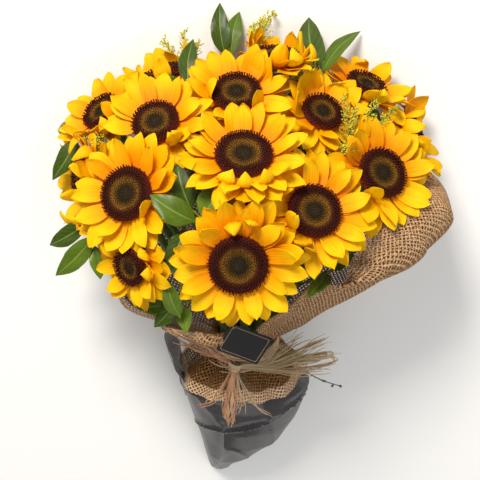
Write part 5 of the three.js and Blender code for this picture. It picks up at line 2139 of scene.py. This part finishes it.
@dataclass
class RaffiaBow:
    """The knot with its tassel, its loops and its frayed strands."""

    knot: Point = (-11, 0, 43)
    windings: int = 9
    wiggle: float = 2.6
    strands: tuple[Strand, ...] = (
        Strand(((-16, -22, 50), (-20, -42, 60), (-20, -62, 62)), 13, 1.6, 3.2),
        Strand(((-12, -22, 51), (-13, -42, 61), (-15, -66, 63)), 9, 1.4, 3.0),
        Strand(((-20, -18, 48), (-34, -36, 57), (-46, -46, 58)), 6, 0.9, 4.0),
        Strand(((-4, -20, 49), (10, -38, 60), (24, -54, 60)), 3, 0.9, 3.0, 0.6),
        Strand(((-8, -20, 50), (-6, -34, 60), (-6, -50, 62)), 6, 0.8, 4.0, 0.4),
        Strand(
            ((24, 0, 46), (60, 2, 40), (90, -2, 30), (92, -10, 28), (60, -10, 36), (24, -6, 45)),
            3, 1.2, 3.6,
        ),
        Strand(
            ((24, 4, 47), (56, 12, 43), (84, 10, 36), (84, 4, 34), (56, 3, 41), (24, 0, 46)),
            4, 1.1, 5.0, 0.8,
        ),
        Strand(((22, -4, 46), (50, -10, 42), (82, -13, 36)), 9, 0.9, 6.0, 1.0),
        Strand(((22, 2, 47), (52, 8, 44), (84, 12, 38)), 15, 1.0, 7.0, 1.0),
        Strand(((24, 6, 46), (48, 20, 46), (76, 34, 42)), 16, 1.0, 7.5, 1.0),
        Strand(((20, 10, 48), (36, 30, 50), (54, 50, 50)), 10, 0.9, 7.0, 1.0),
        Strand(((-24, 8, 42), (-46, 18, 43), (-68, 28, 38)), 5, 1.2, 4.0),
        Strand(((-24, 12, 44), (-44, 36, 50), (-72, 58, 52)), 12, 1.1, 5.0, 0.3),
        Strand(((-14, 14, 46), (-22, 34, 55), (-30, 50, 62)), 8, 1.0, 5.0, 0.2),
    )

    def build(self, wardrobe: Wardrobe) -> Piece:
        """Build the bow.

        Args:
            wardrobe: the materials.

        Returns:
            One mesh.
        """
        random = np.random.default_rng(47)
        draft = Draft()
        knot = np.array(self.knot)
        for k in range(self.windings):
            turn = np.linspace(0, FULL_TURN * 1.02, 26) + random.random() * 6
            lean = math.radians(20 * (random.random() - 0.5) * 2)
            axis = np.array((math.sin(lean), math.cos(lean), 0.15 * (random.random() - 0.5)))
            first = unit(np.cross(axis, (0, 0, 1.0)))
            second = np.cross(axis, first)
            size = 5.4 + 0.25 * k
            ring = first * np.cos(turn)[:, None] * size + second * np.sin(turn)[:, None] * size * 0.86
            local = knot + ring + axis * (-6 + 12 * (k + 0.5) / self.windings)
            ups = unit(ring @ AXES)
            add_strip(draft, TIE_POINT + local @ AXES, ups, 3.0, 0.45, float(random.random()), -0.12)
        for strand in self.strands:
            for _ in range(strand.count):
                self.add_ribbon(draft, strand, random)
        return draft.build("raffia_bow_and_strands", wardrobe.get(Finish.RAFFIA), 50)

    def add_ribbon(self, draft: Draft, strand: Strand, random: np.random.Generator) -> None:
        """Add one ribbon of a bundle, with its own spread, length and twist.

        Args:
            draft: the mesh to add to.
            strand: the bundle.
            random: where its random numbers come from.
        """
        points = [np.array(self.knot) + (random.random(3) - 0.5) * (5, 6, 4)]
        aim = random.normal(size=3) * 0.5
        for k, point in enumerate(strand.path):
            share = (k + 1) / len(strand.path)
            share = math.sin(math.pi * share) if strand.is_loop else share
            shift = aim * strand.spread * share * (1, 1, 0.55)
            points.append(np.array(point) + shift + (random.random(3) - 0.5))
        if not strand.is_loop:
            points[-1] = points[-2] + (points[-1] - points[-2]) * (0.75 + 0.5 * random.random())
        count = 8 * len(points)
        local = smooth_path(points, count)
        ends = np.linspace(0, 1, count)
        waves = 5 + 9 * random.random((3, 2))
        wiggle = np.stack([np.sin(ends * rate + start) for rate, start in waves], axis=1)
        local = local + wiggle * (ends * self.wiggle)[:, None] * (1.0, 1.0, 0.4)
        path = TIE_POINT + local @ AXES
        tangents, sides, ups = frames_along(path, UP)
        twist = np.linspace(0, (random.random() - 0.5) * 5, count) + random.random() * 2
        faces_up = around(ups, sides, twist)
        width = strand.width * (0.7 + 0.5 * random.random())
        taper = np.interp(ends, (0, 0.06, 0.9, 1), (0.7, 1, 0.9, 0.4))
        tone = 0.5 * random.random() + 0.5 * strand.paler
        add_strip(draft, path, faces_up, width * taper, 0.4, float(tone), 0.1)


@dataclass
class Card:
    """The small dark card that leans on the burlap's front edge, with a printed border and a string."""

    width: float = 44.0
    height: float = 36.0
    thick: float = 0.9
    corner: float = 2.0
    at: tuple[float, float] = (-1, 54)
    forward: float = 66.0
    lean: float = -0.1
    turn: float = -26.0
    inset: float = 2.6
    line: float = 0.45

    def basis(self) -> tuple[Array, Array, Array]:
        """Return the card's directions: across it, up it and out of its face."""
        facing = unit(FRONT - ALONG * self.lean)
        upright = unit(ALONG + FRONT * self.lean)
        turn = math.radians(self.turn)
        across = RIGHT * math.cos(turn) + upright * math.sin(turn)
        return across, np.cross(facing, across), facing

    def outline(self, inset: float, corner: float) -> Array:
        """Draw the card's rounded outline.

        Args:
            inset: how far inside the edge it runs.
            corner: the radius of its corners.

        Returns:
            Its points in the card's own plane.
        """
        half = np.array((self.width / 2 - inset, self.height / 2 - inset))
        points = []
        for k, (sx, sy) in enumerate(((1, -1), (1, 1), (-1, 1), (-1, -1))):
            for step in range(5):
                turn = -math.pi / 2 + (k + step / 4) * math.pi / 2
                middle = (half - corner) * (sx, sy)
                points.append(middle + corner * np.array((math.cos(turn), math.sin(turn))))
        return np.array(points)

    def lift(self, flat: Array, height: float) -> Array:
        """Return points of the card's plane, raised off its back, in the model's frame."""
        across, over, facing = self.basis()
        origin = place(*self.at, self.forward)
        return origin + across * flat[:, :1] + over * flat[:, 1:] + facing * height

    def build(self, wardrobe: Wardrobe, knot: Array) -> Piece:
        """Build the board, its border and the string to the knot.

        Args:
            wardrobe: the materials.
            knot: where the string ends.

        Returns:
            One mesh.
        """
        draft = Draft()
        edge = self.outline(0, self.corner)
        count = len(edge)
        levels = ((0.995, 0), (1, 0.15), (1, self.thick - 0.15), (0.995, self.thick))
        rows = [self.lift(edge * size, height) for size, height in levels]
        draft.add(np.concatenate(rows), tube_faces(len(rows), count))
        outer = self.outline(self.inset, self.corner)
        inner = self.outline(self.inset + self.line, self.corner)
        low, high = self.thick - 0.05, self.thick + 0.06
        rings = [self.lift(*ring) for ring in ((outer, low), (outer, high), (inner, high), (inner, low))]
        frame_faces = grid_faces(len(rings), count, wrap=True)
        for j in range(count):
            frame_faces.append((3 * count + j, 3 * count + (j + 1) % count, (j + 1) % count, j))
        draft.add(np.concatenate(rings), frame_faces, None, 1.0)
        corner = np.array([[-self.width / 2, self.height / 2]])
        hole, over, behind = (
            self.lift(corner + shift, height)[0]
            for shift, height in (((4.5, -5), self.thick + 0.5), ((1, -1), 2.0), ((1, 2), -0.6))
        )
        string = smooth_path([hole, over, behind, (behind + knot) / 2 + FRONT * 3, knot], 30)
        add_tube(draft, string, 0.4, 7, UP, 0.8)
        return draft.build("card_and_string", wardrobe.get(Finish.CARD), 35)


@dataclass
class DryTwig:
    """A dry twig that sticks out under the skirt, with small buds."""

    path: tuple[Point, ...] = ((44, -37, 2), (62, -50, 3), (82, -62, 6), (104, -68, 10))
    buds: tuple[Point, ...] = ((84, -61, 8), (94, -68, 8), (102, -66, 11))
    husk: tuple[float, ...] = (0.3, 0.4, 0.6, 1.0, 0.8, 0.15)
    husks: int = 6
    husk_reach: float = 2.4

    def build(self, wardrobe: Wardrobe) -> Piece:
        """Build the twig.

        Args:
            wardrobe: the materials.

        Returns:
            One mesh.
        """
        random = np.random.default_rng(3)
        draft = Draft()
        path = smooth_path([place(*p) for p in self.path], 24)
        add_tube(draft, path, np.linspace(0.95, 0.5, 24), 7)
        for bud in self.buds:
            centre = place(*bud)
            nearest = path[int(np.argmin(np.linalg.norm(path - centre, axis=1)))]
            for _ in range(self.husks):
                aim = unit(random.normal(size=3) + unit(centre - nearest + ALONG * 0.01))
                husk = smooth_path([nearest, centre, centre + aim * self.husk_reach], len(self.husk))
                add_tube(draft, husk, np.array(self.husk), 6)
        return draft.build("dry_twig_and_buds", wardrobe.get(Finish.TWIG), 60)


@dataclass
class Studio:
    """The camera, the lights and the pale surface that the bunch lies on.

    Each light has a name, a place in metres, a size, an energy and a colour.
    """

    steep: float = 50.0
    target: Point = (-5.5, 158.9, 35.7)
    distance: float = 1000.0
    lens: float = 81.5
    sky: float = 0.42
    lit_point: Point = (0.0, 0.0, 0.1)
    floor_reach: float = 3.0
    lights: tuple[tuple[str, Point, float, float, str], ...] = (
        ("key", (-0.4, 1.35, 1.15), 0.5, 34, "FFF9F0"),
        ("fill", (0.8, -0.2, 1.5), 1.2, 6, "F6F9FF"),
        ("low_front", (-0.3, -1.2, 1.0), 1.2, 4, "FFFFFF"),
    )

    def add_camera(self) -> None:
        """Look down on the bunch, with its stems towards the bottom of the picture."""
        steep = math.radians(self.steep)
        toward = math.cos(steep) * ALONG + math.sin(steep) * FRONT
        over = math.sin(steep) * ALONG - math.cos(steep) * FRONT
        spot = (place(*self.target) + toward * self.distance) * METRE
        data = bpy.data.cameras.new("camera")
        data.lens = self.lens
        data.sensor_width = 36
        data.clip_start = 0.05
        data.clip_end = 20
        camera = new_object("camera", data)
        camera.matrix_world = Matrix([*zip(RIGHT, over, toward, spot), (0.0, 0.0, 0.0, 1.0)])
        bpy.context.scene.camera = camera

    def add_light(self, name: str, spot: Point, size: float, energy: float, colour: str) -> None:
        """Add a square area light that points at the bunch.

        Args:
            name: its name.
            spot: its place, in metres.
            size: the length of its sides, in metres.
            energy: its power, in watts.
            colour: its sRGB hex colour.
        """
        data = bpy.data.lights.new(name, "AREA")
        data.size = size
        data.energy = energy
        data.color = linear(colour)[:3]
        aim = Vector(spot) - Vector(self.lit_point)
        turned = aim.to_track_quat("Z", "Y").to_matrix().to_4x4()
        new_object(name, data).matrix_world = Matrix.Translation(Vector(spot)) @ turned

    def build(self) -> None:
        """Add the camera, the lights and the floor."""
        self.add_camera()
        world = bpy.data.worlds.new("soft_white")
        world.use_nodes = True
        tree = world.node_tree
        tree.nodes.clear()
        sky = add_node(tree, "ShaderNodeBackground", {"Color": linear("FFFFFF"), "Strength": self.sky})
        add_node(tree, "ShaderNodeOutputWorld", {"Surface": sky})
        bpy.context.scene.world = world
        for light in self.lights:
            self.add_light(*light)
        bpy.context.scene.view_settings.view_transform = "Standard"
        mesh = bpy.data.meshes.new("floor")
        reach = self.floor_reach
        corners = [(-reach, -reach, 0), (reach, -reach, 0), (reach, reach, 0), (-reach, reach, 0)]
        mesh.from_pydata(corners, [], [(0, 1, 2, 3)])
        mesh.materials.append(Finish.PAPER.value.material())
        floor = new_object("floor", mesh)


ROUGH_SHEET = (34, 72)


class Bunch:
    """The whole bunch: what is placed, in which order, and what each piece stands for."""

    def __init__(self) -> None:
        """Make the materials, the node tree and the small pieces that it repeats."""
        self.wardrobe = Wardrobe()
        self.scatter = Scatter()
        self.clearance = Clearance()
        tube = ((0.42, -0.6), (0.5, 1.4), (0.62, 2.6), (1.15, 3.5))
        self.open_floret = small_piece("open_floret", tube, 6, 0.5)
        self.floret_bud = small_piece("floret_bud", ((0.5, -0.5), (0.8, 0.6), (0.66, 1.5), (0.2, 2.0)), 6)
        self.golden_bud = small_piece("golden_bud", ((0.25, -0.6), (0.72, 0.1), (0.85, 0.9), (0.4, 1.7)), 6)
        self.hair = small_piece("hair", ((0.13, -0.1), (0.08, 0.9), (0.02, 1.7)), 3)

    def place_obstacles(self, burlap: Burlap, card: Card) -> None:
        """Place rough surfaces of the heads, the stems, the burlap and the card.

        Args:
            burlap: the burlap.
            card: the card.
        """
        for bloom in BLOOMS:
            radius = bloom.disc / 2
            face = Draft()
            profile = [(radius * 0.78, GAP), (radius * 1.0, 3.6), (radius * 1.0, 8.4), (radius * 0.5, 7.8),
                       (radius * 0.1, 8.6)]
            add_turned(face, bloom.frame, np.array(profile), 16)
            self.clearance.add(f"{bloom.name}_disc", face.points[0], face.faces)
            hub = Draft()
            size = bloom.hub
            add_turned(hub, bloom.frame, np.array([(5, -24), (size * 0.6, -18), (size, -9.5), (size, 0)]), 12)
            self.clearance.add(bloom.name, hub.points[0], hub.faces)
            stem = Draft()
            add_tube(stem, Stems(self.clearance, self.scatter).path(bloom, 5.0)[:22], STEM_RADIUS + 0.3, 7)
            self.clearance.add("stems", stem.points[0], stem.faces)
        grid, _ = burlap.sheet(*ROUGH_SHEET)
        self.clearance.add("burlap", grid, grid_faces(*ROUGH_SHEET, wrap=True))
        board = card.lift(card.outline(-0.5, 2), 0.5)
        self.clearance.add("card", board, [tuple(range(len(board)))])

    def build(self) -> None:
        """Build every piece and hand each in for the nodes that it stands for."""
        burlap, card = Burlap(), Card()
        self.place_obstacles(burlap, card)
        plans = [(sprig, *sprig.plan(self.clearance)) for sprig in SPRIGS]
        sprays = [(spray, *spray.plan(self.clearance)) for spray in SPRAYS]
        stalks = [plan[1] for plan in plans + sprays]
        stems = Stems(self.clearance, self.scatter)
        hand_in(stems.build(self.wardrobe, self.hair, stalks), "stem", "stems_and_calyces")
        for sprig, stalk, laid in plans:
            hand_in(sprig.build(self.wardrobe, stalk, laid), "leaf", sprig.name)
        for spray, stalk, plumes in sprays:
            piece = spray.build(self.wardrobe, self.scatter, self.golden_bud, stalk, plumes)
            hand_in(piece, "goldenrod", spray.name)
        by_number = {bloom.number: bloom for bloom in BLOOMS}
        for number in FRONT_TO_BACK:
            bloom = by_number[number]
            hand_in(Petals(bloom, self.clearance).build(self.wardrobe), "petal", f"{bloom.name}_petals")
            disc = DiscFlorets(bloom, self.scatter).build(self.wardrobe, self.open_floret, self.floret_bud)
            hand_in(disc, "disc", f"{bloom.name}_disc")
        sheet, area = burlap.build(self.wardrobe)
        hand_in(sheet, "burlap", "burlap_wrap")
        LOG.info("burlap sheet: %.4f square metres", area)
        hand_in(FilmBag().build(self.wardrobe), "film", "film_bag")
        hand_in(RaffiaTie().build(self.wardrobe), "raffia", "raffia_tie")
        bow = RaffiaBow()
        hand_in(bow.build(self.wardrobe), "raffia", "raffia_bow")
        hand_in(card.build(self.wardrobe, place(*bow.knot)), "card", "card")
        hand_in(DryTwig().build(self.wardrobe), "twig", "dry_twig")
        for piece in (self.open_floret, self.floret_bud, self.golden_bud, self.hair):
            bpy.data.objects.remove(piece)


def main() -> None:
    """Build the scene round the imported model."""
    logging.basicConfig(level=logging.INFO, format="%(message)s")
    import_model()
    Bunch().build()
    Studio().build()


if __name__ == "__main__":
    main()
